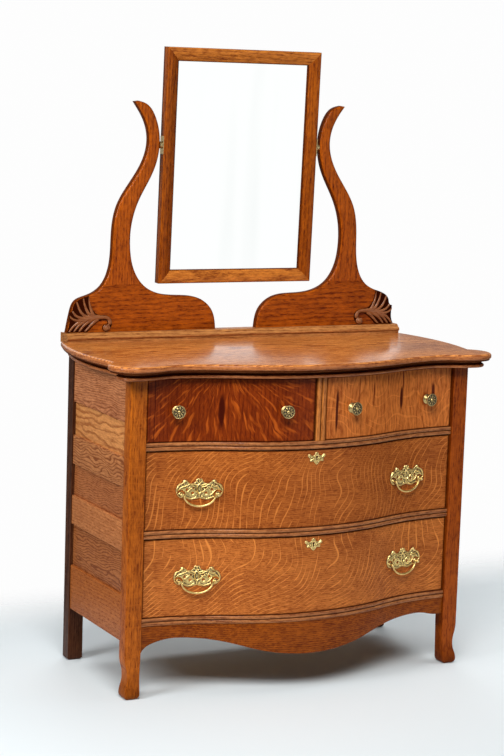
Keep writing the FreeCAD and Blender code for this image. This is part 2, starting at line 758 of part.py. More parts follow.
def is_outer(at, inset):
    """Whether a point lies on the outline of the top with that inset."""
    for curve in top_outline(num(inset)):
        spot = Vector(abs(at.x), at.y, 0)
        if curve.toShape().distToShape(Part.Vertex(spot))[0] < 0.01:
            return True
    return False


def top_board():
    """The shaped top with a rounded edge above a small lip."""
    body = new_body("top_board", "0", "0", BOARD_BASE)
    lip = new_sketch(body)
    draw_top(lip, "board_lip_inset")
    pad(body, lip, "board_lip_height")
    main = new_sketch(body, "XY_Plane", "board_lip_height")
    draw_top(main, "0")
    solid = pad(body, main, "board_thickness - board_lip_height")
    rear = num("case_depth + top_rear_overhang")
    for level, size in (("board_thickness", "board_edge_radius"), ("board_lip_height", "board_lower_radius")):
        high = num(level)
        solid = ease(body, solid, lambda at, edge: at.y < rear - 1 and abs(at.z - high) < 0.01
                     and is_outer(at, "0"), size)
    return keep(body, "top_board")


# ------------------------------------------------------------ back and inner frame
def back_boards():
    """Panel across the back and the three rails that it is nailed to."""
    reach = "(case_width / 2 - rear_post_width)"
    width = "2 * " + reach
    rails = [("back_rail_lower", "back_panel_base"),
             ("back_rail_middle", UPPER_BASE + " - back_rail_height"),
             ("back_rail_upper", CARCASS + " - back_rail_height")]
    pieces = [board(name, width, "back_rail_thickness", "back_rail_height", "-" + reach, REAR_FACE, base)
              for name, base in rails]
    pieces.append(board("back_panel", width, "back_panel_thickness", CARCASS + " - back_panel_base",
                        "-" + reach, REAR_FACE + " + back_rail_thickness", "back_panel_base"))
    group("back_boards", pieces)


def runners():
    """L-shaped runners on both sides and a T-shaped one in the middle."""
    length = REAR_FACE + " - drawer_rail_depth"
    levels = (LOWER_BASE, MIDDLE_BASE, UPPER_BASE)
    opening, wall, thick = num(OPENING), num(SIDE_INNER), num("runner_thickness")
    lap, guide = num("runner_lap"), num("guide_height")
    outline = [(opening - lap, -thick), (wall, -thick), (wall, guide), (opening, guide), (opening, 0),
               (opening - lap, 0)]
    for side, word in SIDES:
        pieces = []
        for number, level in enumerate(levels):
            body = new_body("runner_%s_%d" % (word, number + 1), "0", "drawer_rail_depth", level)
            sketch = new_sketch(body, "XZ_Plane")
            draw(sketch, polygon([(side * x, z) for x, z in outline]))
            pad(body, sketch, length, back=True)
            pieces.append(body)
        group("drawer_runners_" + word, pieces)
    body = new_body("centre_runner", "0", "drawer_rail_depth", UPPER_BASE)
    half, rib = num("centre_runner_width / 2"), num("centre_guide_width / 2")
    high = num("centre_guide_height")
    sketch = new_sketch(body, "XZ_Plane")
    draw(sketch, polygon([(-half, -thick), (half, -thick), (half, 0), (rib, 0), (rib, high), (-rib, high),
                          (-rib, 0), (-half, 0)]))
    pad(body, sketch, length, back=True)
    keep(body, "centre_runner")


# ------------------------------------------------------------------------- drawers
def put_on_front(body, reach, height, lift=0.0):
    """Place a body on a drawer face, turned to stand square on the curve there."""
    ahead = -num(FACE_SETBACK)
    turn = front_turn(reach, ahead)
    angle = math.radians(turn)
    depth = num(FRONT) + front_depth(reach, ahead)
    place = Vector(reach + lift * math.sin(angle), depth - lift * math.cos(angle), height)
    body.Placement = FreeCAD.Placement(place, FreeCAD.Rotation(Vector(0, 0, 1), turn))
    return turn


def drawer(name, start, end, base, opening, locked):
    """Front, sides, back and bottom of a drawer that fills part of an opening."""
    x0 = "(" + start + " + drawer_side_gap)"
    x1 = "(" + end + " - drawer_side_gap)"
    foot = "(" + base + " + runner_gap)"
    high = "(" + opening + " - drawer_top_gap - runner_gap)"
    thick = "drawer_side_thickness"
    front = new_body(name + "_front", "0", "0", foot)
    sketch = new_sketch(front)
    front_strip(sketch, "-" + FACE_SETBACK, "-" + FRONT_BACK, x0, x1)
    pad(front, sketch, high)
    doc.recompute()
    if locked:
        seat = new_sketch(front, "XY_Plane", high)
        rectangle(seat, "lock_width + 2 * lock_clearance", "lock_depth + lock_clearance + rail_setback",
                  "lock_offset - lock_width / 2 - lock_clearance",
                  FRONT_BACK + " - front_bulge - lock_depth - lock_clearance")
        pocket(front, seat, "lock_height + lock_clearance")
        keyhole(front, high + " - escutcheon_drop")
    keep(front, name + "_front")
    low, top = num(x0), num(x1)
    wall = num(thick)
    sides = []
    for word, edge in (("left", x0), ("right", x1 + " - " + thick)):
        first = num(edge)
        start_depth = max(front_depth(first, -num(FRONT_BACK)), front_depth(first + wall, -num(FRONT_BACK)))
        sides.append(board(name + "_side_" + word, thick, DRAWER_END + " - (%.4f)" % start_depth,
                           high + " - drawer_side_drop", edge, "%.4f" % start_depth, foot))
    group(name + "_sides", sides)
    inner0, inner1 = "(" + x0 + " + " + thick + ")", "(" + x1 + " - " + thick + ")"
    lift = "(drawer_bottom_lift + drawer_bottom_thickness)"
    keep(board(name + "_back", inner1 + " - " + inner0, "drawer_back_thickness",
               high + " - drawer_side_drop - " + lift, inner0, DRAWER_END + " - drawer_back_thickness",
               foot + " + " + lift), name + "_back")
    bottom = new_body(name + "_bottom", "0", "0", foot + " + drawer_bottom_lift")
    sketch = new_sketch(bottom)
    front_strip(sketch, "-" + FRONT_BACK, None, inner0, inner1, straight=DRAWER_END)
    pad(bottom, sketch, "drawer_bottom_thickness")
    keep(bottom, name + "_bottom")


def keyhole(body, height):
    """Round hole with a slot below, cut along Y at the lock."""
    radius, across = num("keyhole_radius"), num("lock_offset")
    level, slot = num(height), 0.6 * radius
    join = math.asin(slot / radius)
    foot = level - 3 * radius
    neck = level - radius * math.cos(join)
    sketch = new_sketch(body, "XZ_Plane")
    draw(sketch, [arc((across, level), radius, -math.pi / 2 + join, 1.5 * math.pi - join),
                  line((across - slot, neck), (across - slot, foot)),
                  line((across - slot, foot), (across + slot, foot)),
                  line((across + slot, foot), (across + slot, neck))])
    pocket(body, sketch, "4 * front_bulge", middle=True)


def knob(name, reach):
    """Turned knob on a rose, standing square on the face."""
    body = doc.addObject("PartDesign::Body", name)
    body.Label = name
    put_on_front(body, reach, num(UPPER_BASE + " + small_drawer_opening / 2 - knob_drop"), 0.15)
    sketch = new_sketch(body)
    rose, neck, head, long = (num(size) for size in (
        "knob_rose_radius", "knob_neck_radius", "knob_radius", "knob_length"))
    thick = num("knob_rose_thickness")
    outline = [line((0, 0), (rose, 0)), line((rose, 0), (rose, -thick)),
               smooth([(rose, -thick), (neck, -0.29 * long), (neck, -0.5 * long)]),
               smooth([(neck, -0.5 * long), (head, -0.75 * long), (0.55 * head, -0.97 * long), (0, -long)]),
               line((0, -long), (0, 0))]
    draw(sketch, outline)
    turned = body.newObject("PartDesign::Revolution", name + "_turned")
    turned.Profile = sketch
    turned.ReferenceAxis = (sketch, ["V_Axis"])
    turned.Angle = 360
    return body


def pull(name, side, height):
    """Plate with two pierced posts, and the bail that swings in them."""
    reach = side * num(OPENING + " - pull_inset")
    face = num(CURVE) + num(FACE_SETBACK)
    inner = face - num("plate_standoff + plate_thickness")
    outer = face - num("plate_standoff")
    turn = math.asin((num("plate_width") / 2 + 1) / inner)
    plate = doc.addObject("PartDesign::Body", name + "_plate")
    put_on_front(plate, reach, height)
    sketch = new_sketch(plate, "XY_Plane", "-plate_height")
    centre = (0, -face)
    spots = [[(radius * math.sin(way * turn), -face + radius * math.cos(turn)) for way in (-1, 1)]
             for radius in (inner, outer)]
    up = math.pi / 2
    draw(sketch, [arc(centre, outer, up + turn, up - turn), line(spots[1][1], spots[0][1]),
                  arc(centre, inner, up - turn, up + turn), line(spots[0][0], spots[1][0])])
    pad(plate, sketch, "2 * plate_height")
    doc.recompute()
    wide, high = num("plate_width") / 2 + 5, num("plate_height") + 5
    shape = new_sketch(plate, "XZ_Plane")
    draw(shape, plate_outline())
    draw(shape, polygon([(-wide, -high), (wide, -high), (wide, high), (-wide, high)]))
    pocket(plate, shape, "plate_width", middle=True)
    doc.recompute()
    pierced = new_sketch(plate, "XZ_Plane")
    unit = num("plate_height")
    for across, level, radius in PLATE_HOLES:
        for way in (-1, 1):
            circle_at(pierced, (way * across * unit, level * unit), "%g * plate_height" % radius)
    pocket(plate, pierced, "plate_width", middle=True)
    pieces = [plate]
    low = height - num("bail_pivot_drop")
    for way in (-1, 1):
        post = doc.addObject("PartDesign::Body", name + "_post")
        put_on_front(post, reach, low)
        across = way * num("bail_span") / 2
        thick, long, cap = num("pull_post_radius"), -num("pull_post_length"), 2.0
        edge = abs(across) + thick
        foot = math.sqrt(inner ** 2 - edge ** 2) - face - 0.02
        turned = new_sketch(post)
        draw(turned, [line((across, foot), (across + thick, foot)),
                      line((across + thick, foot), (across + thick, long + cap)),
                      arc((across + thick - cap, long + cap), cap, 0, -math.pi / 2),
                      line((across + thick - cap, long), (across, long)),
                      line((across, long), (across, foot))])
        spin = post.newObject("PartDesign::Revolution", name + "_spin")
        spin.Profile = turned
        spin.ReferenceAxis = (turned, ["Edge5"])
        spin.Angle = 360
        doc.recompute()
        eye = new_sketch(post, "YZ_Plane")
        circle_at(eye, (-num("bail_axis_offset"), 0), "bail_rod_radius + pivot_clearance")
        pocket(post, eye, "2 * plate_width", middle=True)
        pieces.append(post)
    bail = doc.addObject("PartDesign::Body", name)
    put_on_front(bail, reach, low)
    pin = num("bail_span / 2 + pull_post_radius")
    start = num("bail_span / 2 - pull_post_radius") - 0.5
    drop, end = num("bail_drop"), num("bail_end_radius")
    slope = 2 * math.atan(drop / start)
    bow = start / math.sin(slope) - end
    path = new_sketch(bail, "XZ_Plane", "bail_axis_offset")
    half = [arc((0, bow - drop), bow, -math.pi / 2, -math.pi / 2 + slope),
            arc((start, -end), end, math.pi / 2 + slope, math.pi / 2),
            line((start, 0), (pin, 0))]
    for curve in mirrored(half) + half:
        path.addGeometry(curve, False)
    rod = new_sketch(bail, "YZ_Plane", "-(bail_span / 2 + pull_post_radius)")
    circle_at(rod, (-num("bail_axis_offset"), 0), "bail_rod_radius")
    doc.recompute()
    sweep = bail.newObject("PartDesign::AdditivePipe", name + "_rod")
    sweep.Profile = rod
    sweep.Spine = (path, ["Edge%d" % (number + 1) for number in range(2 * len(half))])
    keep(bail, name)
    return pieces


# Right half of a back plate in half widths and half heights, from its middle crown round
# to its lower edge.
PLATE_EDGE = ((0, 1), (0.118, 0.943), (0.16, 0.717), (0.252, 0.585), (0.454, 0.642), (0.538, 0.849),
              (0.672, 0.868), (0.739, 0.623), (0.874, 0.509), (0.966, 0.226), (1, -0.075),
              (0.958, -0.415), (0.84, -0.736), (0.672, -0.811), (0.538, -0.868), (0.37, -1),
              (0.185, -0.943), (0, -0.83))
# Pierced places beside the middle cartouche and under the scrolls, in plate heights:
# reach, height and radius.
PLATE_HOLES = ((0.36, 0.02, 0.05), (0.38, -0.15, 0.056), (0.64, 0.15, 0.045), (0.64, -0.26, 0.05))


def plate_outline():
    """Outline of a back plate: three crowns above and a scalloped lower edge."""
    wide, high = num("plate_width / 2"), num("plate_height / 2")
    right = [smooth([(x * wide, z * high) for x, z in PLATE_EDGE])]
    return mirrored(right) + right


# Right half of an escutcheon in half widths and half heights: shield, then the wing with
# its upturned horn.
ESCUTCHEON_EDGE = ((0, 0.938), (0.229, 0.75), (0.292, 0.312), (0.375, 0.125), (0.604, 0.219),
                   (0.792, 0.594), (1, 0.5), (0.958, 0.062), (0.75, -0.219), (0.667, -0.594),
                   (0.417, -0.562), (0.25, -0.781), (0, -1.062))


def escutcheon(name, height):
    """Winged plate round a keyhole, bent to the face of the drawer."""
    body = new_body(name, "0", "0", height)
    face = num(CURVE) - num(FACE_SETBACK)
    middle, half = num("lock_offset"), num("escutcheon_width") / 2 + 1
    centre = (0, num(CURVE) - num("front_bulge"))
    down = -math.pi / 2
    inner, outer = face + num("plate_standoff"), face + num("plate_standoff + escutcheon_thickness")
    first, last = math.asin((middle - half) / inner), math.asin((middle + half) / inner)
    near = [(radius * math.sin(first), centre[1] - radius * math.cos(first)) for radius in (inner, outer)]
    far = [(radius * math.sin(last), centre[1] - radius * math.cos(last)) for radius in (inner, outer)]
    sketch = new_sketch(body, "XY_Plane", "-escutcheon_height")
    draw(sketch, [arc(centre, outer, down + first, down + last), line(far[1], far[0]),
                  arc(centre, inner, down + last, down + first), line(near[0], near[1])])
    pad(body, sketch, "2 * escutcheon_height")
    doc.recompute()
    outline = new_sketch(body, "XZ_Plane")
    wide, high = num("escutcheon_width / 2"), num("escutcheon_height / 2")
    right = [smooth([(x * wide, z * high) for x, z in ESCUTCHEON_EDGE])]
    for curve in mirrored(right) + right:
        for number in range(1, curve.NbPoles + 1):
            pole = curve.getPole(number)
            curve.setPole(number, Vector(pole.x + middle, pole.y, 0))
        outline.addGeometry(curve, False)
    low, high = -num("escutcheon_height") - 3, num("escutcheon_height") + 3
    draw(outline, polygon([(middle - half - 3, low), (middle + half + 3, low), (middle + half + 3, high),
                           (middle - half - 3, high)]))
    pocket(body, outline, "4 * front_bulge", middle=True)
    keyhole(body, "0")
    return keep(body, name)


def lock(name, top):
    """Half-mortise lock: a case with a slot, and the bolt that rises from it."""
    case = new_body(name + "_lock_case", "lock_offset - lock_width / 2",
                    FRONT_BACK + " - front_bulge - lock_depth", top + " - lock_height")
    sketch = new_sketch(case)
    rectangle(sketch, "lock_width", "lock_depth")
    pad(case, sketch, "lock_height")
    doc.recompute()
    slot = new_sketch(case, "XY_Plane", "lock_height")
    rectangle(slot, "bolt_width + 2 * lock_clearance", "bolt_thickness + 2 * lock_clearance",
              "lock_width / 2 - bolt_width / 2 - lock_clearance",
              "lock_depth / 2 - bolt_thickness / 2 - lock_clearance")
    pocket(case, slot, "bolt_length + lock_clearance")
    keep(case, name + "_lock_case")
    bolt = board(name + "_lock_bolt", "bolt_width", "bolt_thickness", "bolt_length",
                 "lock_offset - bolt_width / 2", BOLT_DEPTH + " - bolt_thickness / 2", top + " - bolt_length")
    keep(bolt, name + "_lock_bolt")


# -------------------------------------------------------------------- mirror stand
# Edges of the stand: reach beyond the waist over stand_reach, and height over its whole height.
INNER_EDGE = ((-0.7053, 0), (-0.6646, 0.0782), (-0.5122, 0.1361), (-0.2927, 0.1522), (-0.0488, 0.1616),
              (0.1301, 0.1956), (0.252, 0.2645), (0.3049, 0.3656), (0.2967, 0.4626), (0.2175, 0.5723),
              (0.0589, 0.7015), (0, 0.8146), (0.0447, 0.9235), (0.1585, 0.9881), (0.248, 1))
OUTER_EDGE = ((1, 0), (0.9593, 0.085), (0.9106, 0.1344), (0.7642, 0.1616), (0.622, 0.199),
              (0.5407, 0.2645), (0.5102, 0.3656), (0.5041, 0.4422), (0.4553, 0.5459), (0.3049, 0.6522),
              (0.1768, 0.7432), (0.1301, 0.8333), (0.1768, 0.9167), (0.2561, 0.9719), (0.2988, 0.9966))


def stand_edges():
    """Splines along the inner and the outer edge of one standard."""
    waist, wide, high = num(WAIST), num("stand_reach"), num(STAND_HEIGHT)
    return [smooth([(waist + x * wide, z * high) for x, z in edge]) for edge in (INNER_EDGE, OUTER_EDGE)]


def cut_at(curve, height):
    """Parameter at which an edge of the stand crosses the seam."""
    low, high = curve.FirstParameter, curve.LastParameter
    for _ in range(60):
        middle = (low + high) / 2
        if curve.value(middle).y < height:
            low = middle
        else:
            high = middle
    return low


def stand_piece(label, side, upper):
    """An arm above the seam or a shoulder below it, cut from the same outline."""
    seam = num("shoulder_height")
    parts = []
    for curve in stand_edges():
        split = cut_at(curve, seam)
        part = curve.copy()
        if upper:
            part.segment(split, curve.LastParameter)
        else:
            part.segment(curve.FirstParameter, split)
        parts.append(part)
    inner, outer = parts
    outline = [line(tuple(outer.StartPoint)[:2], tuple(inner.StartPoint)[:2]), inner,
               line(tuple(inner.EndPoint)[:2], tuple(outer.EndPoint)[:2]), outer]
    if side < 0:
        outline = mirrored(outline)
    body = new_body(label, "0", STAND_FRONT, STAND_BASE)
    sketch = new_sketch(body, "XZ_Plane")
    draw(sketch, outline)
    pad(body, sketch, "stand_thickness", back=True)
    if upper:
        doc.recompute()
        hole = new_sketch(body, "YZ_Plane", "%d * (%s - pivot_hold)" % (side, WAIST))
        circle_at(hole, (num("stand_thickness / 2"), num(PIVOT_RISE)), "pivot_radius + pin_clearance")
        pocket(body, hole, "2 * pivot_hold", back=side > 0)
    return keep(body, label)


# Outline of the leaf in leaf heights: reach from the foot of the shoulder, and height.
LEAF_BACK = ((0.011, 0.011), (-0.053, 0.191), (-0.059, 0.362), (-0.037, 0.548))
LEAF_CREST = ((-0.037, 0.548), (-0.117, 0.574), (-0.165, 0.723), (-0.245, 0.84), (-0.404, 0.931),
              (-0.617, 1))
LEAF_INNER = ((-0.617, 1), (-0.644, 0.809), (-0.734, 0.617), (-0.883, 0.484), (-1.074, 0.457),
              (-1.223, 0.404), (-1.303, 0.277), (-1.277, 0.128), (-1.181, 0.032), (-1.074, 0.032),
              (-1.016, 0.117), (-1.064, 0.207))
LEAF_HOLLOW = ((-1.064, 0.207), (-1.149, 0.213), (-1.16, 0.293), (-1.043, 0.335), (-0.904, 0.298))
LEAF_FOOT = ((-0.904, 0.298), (-0.787, 0.202), (-0.67, 0.096), (-0.585, 0.011))


def leaf_outline():
    """Scrolled leaf: a volute, a stem, and lobes that fan out above and below."""
    foot, high = num(WAIST + " + stand_reach"), num("leaf_height")
    edges = (LEAF_BACK, LEAF_CREST, LEAF_INNER, LEAF_HOLLOW, LEAF_FOOT)
    runs = [[(foot + x * high, z * high) for x, z in edge] for edge in edges]
    return [smooth(run) for run in runs] + [line(runs[-1][-1], runs[0][0])]


def leaf(side, word):
    """Applied leaf on the face of a shoulder."""
    body = new_body("leaf_carving_" + word, "0", STAND_FRONT, STAND_BASE)
    outline = leaf_outline()
    sketch = new_sketch(body, "XZ_Plane")
    draw(sketch, outline if side > 0 else mirrored(outline))
    pad(body, sketch, "leaf_relief")
    return body


def base_rail():
    """Moulded rail along the back of the top that carries the stand."""
    reach = WAIST + " + stand_reach + base_rail_margin"
    body = new_body("mirror_base_rail", "0", "0", TOP)
    front, rear = num(STAND_FRONT + " - base_rail_lead"), num(STAND_FRONT + " + stand_thickness")
    high = num("base_rail_height")
    bead, slope = num("base_rail_bead_radius"), num("base_rail_slope")
    bead_top = high - slope
    middle = bead_top - bead
    sketch = new_sketch(body, "YZ_Plane")
    draw(sketch, [line((front, 0), (front, middle - bead)),
                  arc((front, middle), bead, -math.pi / 2, -1.5 * math.pi),
                  line((front, bead_top), (front + slope, high)),
                  line((front + slope, high), (rear, high)), line((rear, high), (rear, 0)),
                  line((rear, 0), (front, 0))])
    pad(body, sketch, "2 * (" + reach + ")", middle=True)
    return keep(body, "mirror_base_rail")


# -------------------------------------------------------------------------- mirror
def tilt(body):
    """Hang a body that is drawn about the pivot axis, leaning as the mirror does."""
    body.Placement = FreeCAD.Placement(
        Vector(0, num(FRONT + " + " + PIVOT_DEPTH), num(PIVOT_HEIGHT)),
        FreeCAD.Rotation(Vector(1, 0, 0), num("mirror_lean")))
    return body


def tilted_body(label):
    body = doc.addObject("PartDesign::Body", label)
    body.Label = label
    return tilt(body)


def frame_profile():
    """Section of a member as distance from its outer edge, and depth from the axis."""
    wide, half = num("mirror_member_width"), num("mirror_member_thickness") / 2
    sight, rebate, round_over = num("mirror_sight_edge"), num("glass_rebate"), num("mirror_edge")
    return [(0, half), (0, -half + round_over), (round_over, -half), (num("mirror_flat"), -half),
            (wide, -sight), (wide, 0),
            (wide - rebate, 0), (wide - rebate, half)]


def mirror_frame():
    """Two stiles and two rails with mitred corners and a rebate behind."""
    wide, half = num("mirror_width") / 2, num("mirror_member_thickness")
    top, low = num("mirror_above_pivot"), num("mirror_above_pivot - mirror_height")
    member, spare = num("mirror_member_width"), num("cut_margin")
    members = []
    for side in (-1, 1):
        body = tilted_body("mirror_stile")
        sketch = new_sketch(body, "XY_Plane", "mirror_above_pivot - mirror_height")
        draw(sketch, polygon([(side * (wide - u), y) for u, y in frame_profile()]))
        pad(body, sketch, "mirror_height")
        doc.recompute()
        mitre = new_sketch(body, "XZ_Plane")
        more = member + spare
        for end, way in ((top, -1), (low, 1)):
            draw(mitre, polygon([(side * (wide + spare), end - way * spare),
                                 (side * (wide - more), end - way * spare),
                                 (side * (wide - more), end + way * more)]))
        cut = pocket(body, mitre, "4 * mirror_member_thickness", middle=True)
        doc.recompute()
        hole = new_sketch(body, "YZ_Plane", "%d * (mirror_width / 2 + 1)" % side)
        circle_at(hole, (0, 0), "pivot_radius + pivot_clearance")
        pocket(body, hole, "pivot_bite + 2", back=side < 0)
        members.append(body)
    for end, way in ((top, -1), (low, 1)):
        body = tilted_body("mirror_rail")
        sketch = new_sketch(body, "YZ_Plane")
        draw(sketch, polygon([(y, end + way * u) for u, y in frame_profile()]))
        pad(body, sketch, "mirror_width", middle=True)
        doc.recompute()
        mitre = new_sketch(body, "XZ_Plane")
        more = member + spare
        for side in (-1, 1):
            draw(mitre, polygon([(side * (wide + spare), end - way * spare),
                                 (side * (wide - more), end + way * more),
                                 (side * (wide + spare), end + way * more)]))
        pocket(body, mitre, "4 * mirror_member_thickness", middle=True)
        members.append(body)
    group("mirror_frame", members)


def mirror_sheet(label, thickness, depth):
    """Glass or back board that lies in the rebate of the frame."""
    body = tilted_body(label)
    margin = "(mirror_member_width - glass_rebate + glass_clearance)"
    sketch = new_sketch(body, "XZ_Plane", "-(" + depth + ")")
    rectangle(sketch, "mirror_width - 2 * " + margin, "mirror_height - 2 * " + margin,
              "-mirror_width / 2 + " + margin, "mirror_above_pivot - mirror_height + " + margin)
    pad(body, sketch, thickness, back=True)
    return keep(body, label)


def pivots():
    """Pins fixed in the arms, and the plates on the stiles that ride on them."""
    pins, plates = [], []
    wide, plate = num("mirror_width") / 2, num("pivot_plate_thickness")
    waist, pin, collar = num(WAIST), num("pivot_radius"), num("pivot_collar_radius")
    start, end = wide - num("pivot_bite"), waist + num("pivot_hold")
    gap = num("collar_gap")
    near, far = wide + plate + gap, waist - gap
    for side in (-1, 1):
        body = new_body("pivot_pin", "0", PIVOT_DEPTH, PIVOT_HEIGHT)
        sketch = new_sketch(body, "XZ_Plane")
        draw(sketch, polygon([(side * x, z) for x, z in (
            (start, 0), (start, pin), (near, pin), (near, collar), (far, collar), (far, pin), (end, pin),
            (end, 0))]))
        turned = body.newObject("PartDesign::Revolution", "pivot_turned")
        turned.Profile = sketch
        turned.ReferenceAxis = (sketch, ["H_Axis"])
        turned.Angle = 360
        pins.append(body)
        body = tilted_body("pivot_plate")
        sketch = new_sketch(body, "YZ_Plane", "%d * mirror_width / 2" % side)
        rectangle(sketch, "pivot_plate_width", "pivot_plate_height", "-pivot_plate_width / 2",
                  "-pivot_plate_height / 2")
        circle_at(sketch, (0, 0), "pivot_radius + pivot_clearance")
        pad(body, sketch, "pivot_plate_thickness", back=side < 0)
        plates.append(body)
    group("mirror_pivot_pins", pins)
    group("mirror_pivot_plates", plates)


# ------------------------------------------------------------------------ assembly
for side, word in SIDES:
    front_post(side, "front_post_" + word)
    rear_post(side, "rear_post_" + word)
    side_frame(side, word)
drawer_rail("drawer_rail_lower", "lower_rail_base", False)
drawer_rail("drawer_rail_middle", MIDDLE_RAIL, True)
drawer_rail("drawer_rail_upper", UPPER_RAIL, True)
divider()
apron()
under_moulding()
top_board()
back_boards()
runners()

drawer("small_drawer_left", "-" + OPENING, "-divider_width / 2", UPPER_BASE, "small_drawer_opening", False)
drawer("small_drawer_right", "divider_width / 2", OPENING, UPPER_BASE, "small_drawer_opening", False)
for side, word in SIDES:
    knobs = [knob("knob_" + word, side * num(reach))
             for reach in ("knob_inner_reach", OPENING + " - knob_outer_inset")]
    group("small_drawer_%s_knobs" % word, knobs)
for name, base in (("middle_drawer", MIDDLE_BASE), ("lower_drawer", LOWER_BASE)):
    drawer(name, "-" + OPENING, OPENING, base, "wide_drawer_opening", True)
    middle = num(base + " + wide_drawer_opening / 2 + pull_lift")
    plates = []
    for side, word in SIDES:
        plates += pull(name + "_bail_" + word, side, middle)
    group(name + "_pull_plates", plates)
    crown = "(" + base + " + wide_drawer_opening - drawer_top_gap)"
    escutcheon(name + "_escutcheon", crown + " - escutcheon_drop")
    lock(name, crown)

base_rail()
for side, word in SIDES:
    stand_piece("shoulder_" + word, side, False)
    stand_piece("mirror_arm_" + word, side, True)
group("leaf_carvings", [leaf(side, word) for side, word in SIDES])
mirror_frame()
mirror_sheet("mirror_glass", "glass_thickness", "0")
mirror_sheet("mirror_back_board", "mirror_back_thickness", "glass_thickness")
pivots()
doc.recompute()

# --------------------------------------------------------------------------- output
for thing in doc.Objects:
    if "Invalid" in thing.State or "Error" in thing.State:
        raise RuntimeError("%s was not built: %s" % (thing.Label, thing.State))
os.makedirs("parts", exist_ok=True)
for thing in NODES:
    shape = thing.Shape
    if shape.isNull() or not shape.isValid():
        raise RuntimeError(thing.Label + " has no valid shape")
    shape.exportStep("parts/%s.step" % thing.Label)
    print("%-28s %d solids %10.0f mm3" % (thing.Label, len(shape.Solids), shape.Volume))
print(len(NODES), "nodes")
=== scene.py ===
"""Oak dresser with a tilting mirror: its show surfaces, brass and finishes."""
import logging
import math
from collections.abc import Callable, Iterable, Sequence
from dataclasses import dataclass, field, replace
from enum import Enum

import bmesh
import bpy
import numpy as np
from mathutils import Matrix, Vector
from numpy.typing import NDArray


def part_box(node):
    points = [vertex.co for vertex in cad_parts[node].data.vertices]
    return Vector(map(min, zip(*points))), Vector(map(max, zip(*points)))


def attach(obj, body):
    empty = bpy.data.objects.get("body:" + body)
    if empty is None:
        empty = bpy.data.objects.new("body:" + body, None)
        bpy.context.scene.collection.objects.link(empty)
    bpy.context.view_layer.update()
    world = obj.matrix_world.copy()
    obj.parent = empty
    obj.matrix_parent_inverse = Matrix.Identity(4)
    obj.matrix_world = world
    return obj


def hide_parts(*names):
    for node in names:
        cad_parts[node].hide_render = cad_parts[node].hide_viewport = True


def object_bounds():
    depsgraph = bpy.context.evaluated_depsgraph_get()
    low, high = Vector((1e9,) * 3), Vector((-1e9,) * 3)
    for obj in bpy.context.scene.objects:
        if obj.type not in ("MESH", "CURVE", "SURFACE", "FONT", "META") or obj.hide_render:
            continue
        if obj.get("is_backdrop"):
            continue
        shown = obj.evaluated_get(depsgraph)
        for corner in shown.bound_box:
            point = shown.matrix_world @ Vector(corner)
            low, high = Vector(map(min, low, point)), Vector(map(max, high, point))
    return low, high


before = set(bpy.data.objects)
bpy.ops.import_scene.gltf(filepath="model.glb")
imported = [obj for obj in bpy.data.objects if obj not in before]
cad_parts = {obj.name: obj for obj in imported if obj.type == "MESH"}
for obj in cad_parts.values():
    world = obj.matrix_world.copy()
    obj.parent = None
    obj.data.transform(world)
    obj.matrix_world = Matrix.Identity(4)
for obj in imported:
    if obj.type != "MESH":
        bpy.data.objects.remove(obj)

Array = NDArray[np.float64]
Point = tuple[float, float]
Place = tuple[float, float, float]
Colour = tuple[float, float, float]
Rule = Callable[[Array], Array]
Socket = bpy.types.NodeSocket
Sockets = bpy.types.bpy_prop_collection
log = logging.getLogger("dresser")

MM = 0.001
FRONT = -0.161475      # depth of the front posts' faces
FACE_AHEAD = -0.008    # the drawers' faces lie behind the serpentine by this
CRISP = 32.0           # edges that turn by more degrees than this stay crisp
SIDES = ((-1, "left"), (1, "right"))

# ---------------------------------------------------------------------------- surfaces
@dataclass
class Shell:
    """A closed surface.

    points are its corners, faces the corner numbers of each face, hollow tells a finish
    how deep or how near a shaded edge a point lies (0 proud, 1 deep), which the wood shows as painted
    shade and the brass as dirt in its hollows, and part gives each face its finish.
    """

    points: Array
    faces: list[tuple[int, ...]]
    hollow: Array | None = None
    part: list[int] | None = None

    def __add__(self, other: "Shell") -> "Shell":
        """Both shells as one.

        Args:
            other: the shell that joins this one.

        Returns:
            One shell with the points and faces of both.
        """
        shift = len(self.points)
        hollow = [s.hollow if s.hollow is not None else np.full(len(s.points), 0.3) for s in (self, other)]
        part = [s.part if s.part is not None else [0] * len(s.faces) for s in (self, other)]
        return Shell(np.vstack([self.points, other.points]),
                     self.faces + [tuple(n + shift for n in face) for face in other.faces],
                     np.concatenate(hollow), part[0] + part[1])

    def moved(self, rule: Rule) -> "Shell":
        """The shell with each point put where the rule sends it."""
        return Shell(rule(self.points), self.faces, self.hollow, self.part)

    def painted(self, part: int) -> "Shell":
        """The shell with all faces in one finish."""
        return Shell(self.points, self.faces, self.hollow, [part] * len(self.faces))

    def mesh_object(self, name: str, sharp: float = CRISP) -> bpy.types.Object:
        """Make the Blender object.

        Args:
            name: the piece's name.
            sharp: edges that turn by more degrees than this stay crisp.

        Returns:
            The object, at the origin, with its faces outwards.
        """
        mesh = bpy.data.meshes.new(name)
        mesh.from_pydata(self.points.tolist(), [], self.faces)
        if self.hollow is not None:
            values = mesh.attributes.new("hollow", "FLOAT", "POINT").data
            values.foreach_set("value", self.hollow.astype(np.float32))
        if self.part is not None:
            mesh.polygons.foreach_set("material_index", np.array(self.part, np.int32))
        shape = bmesh.new()
        shape.from_mesh(mesh)
        bmesh.ops.remove_doubles(shape, verts=shape.verts, dist=2e-6)
        bmesh.ops.recalc_face_normals(shape, faces=shape.faces)
        shape.to_mesh(mesh)
        shape.free()
        mesh.polygons.foreach_set("use_smooth", np.ones(len(mesh.polygons), bool))
        mesh.set_sharp_from_angle(angle=math.radians(sharp))
        mesh.update()
        piece = bpy.data.objects.new(name, mesh)
        bpy.context.scene.collection.objects.link(piece)
        return piece


def unit(values: Array | Sequence[float]) -> Array:
    """The values, held between 0 and 1."""
    return np.clip(values, 0, 1)


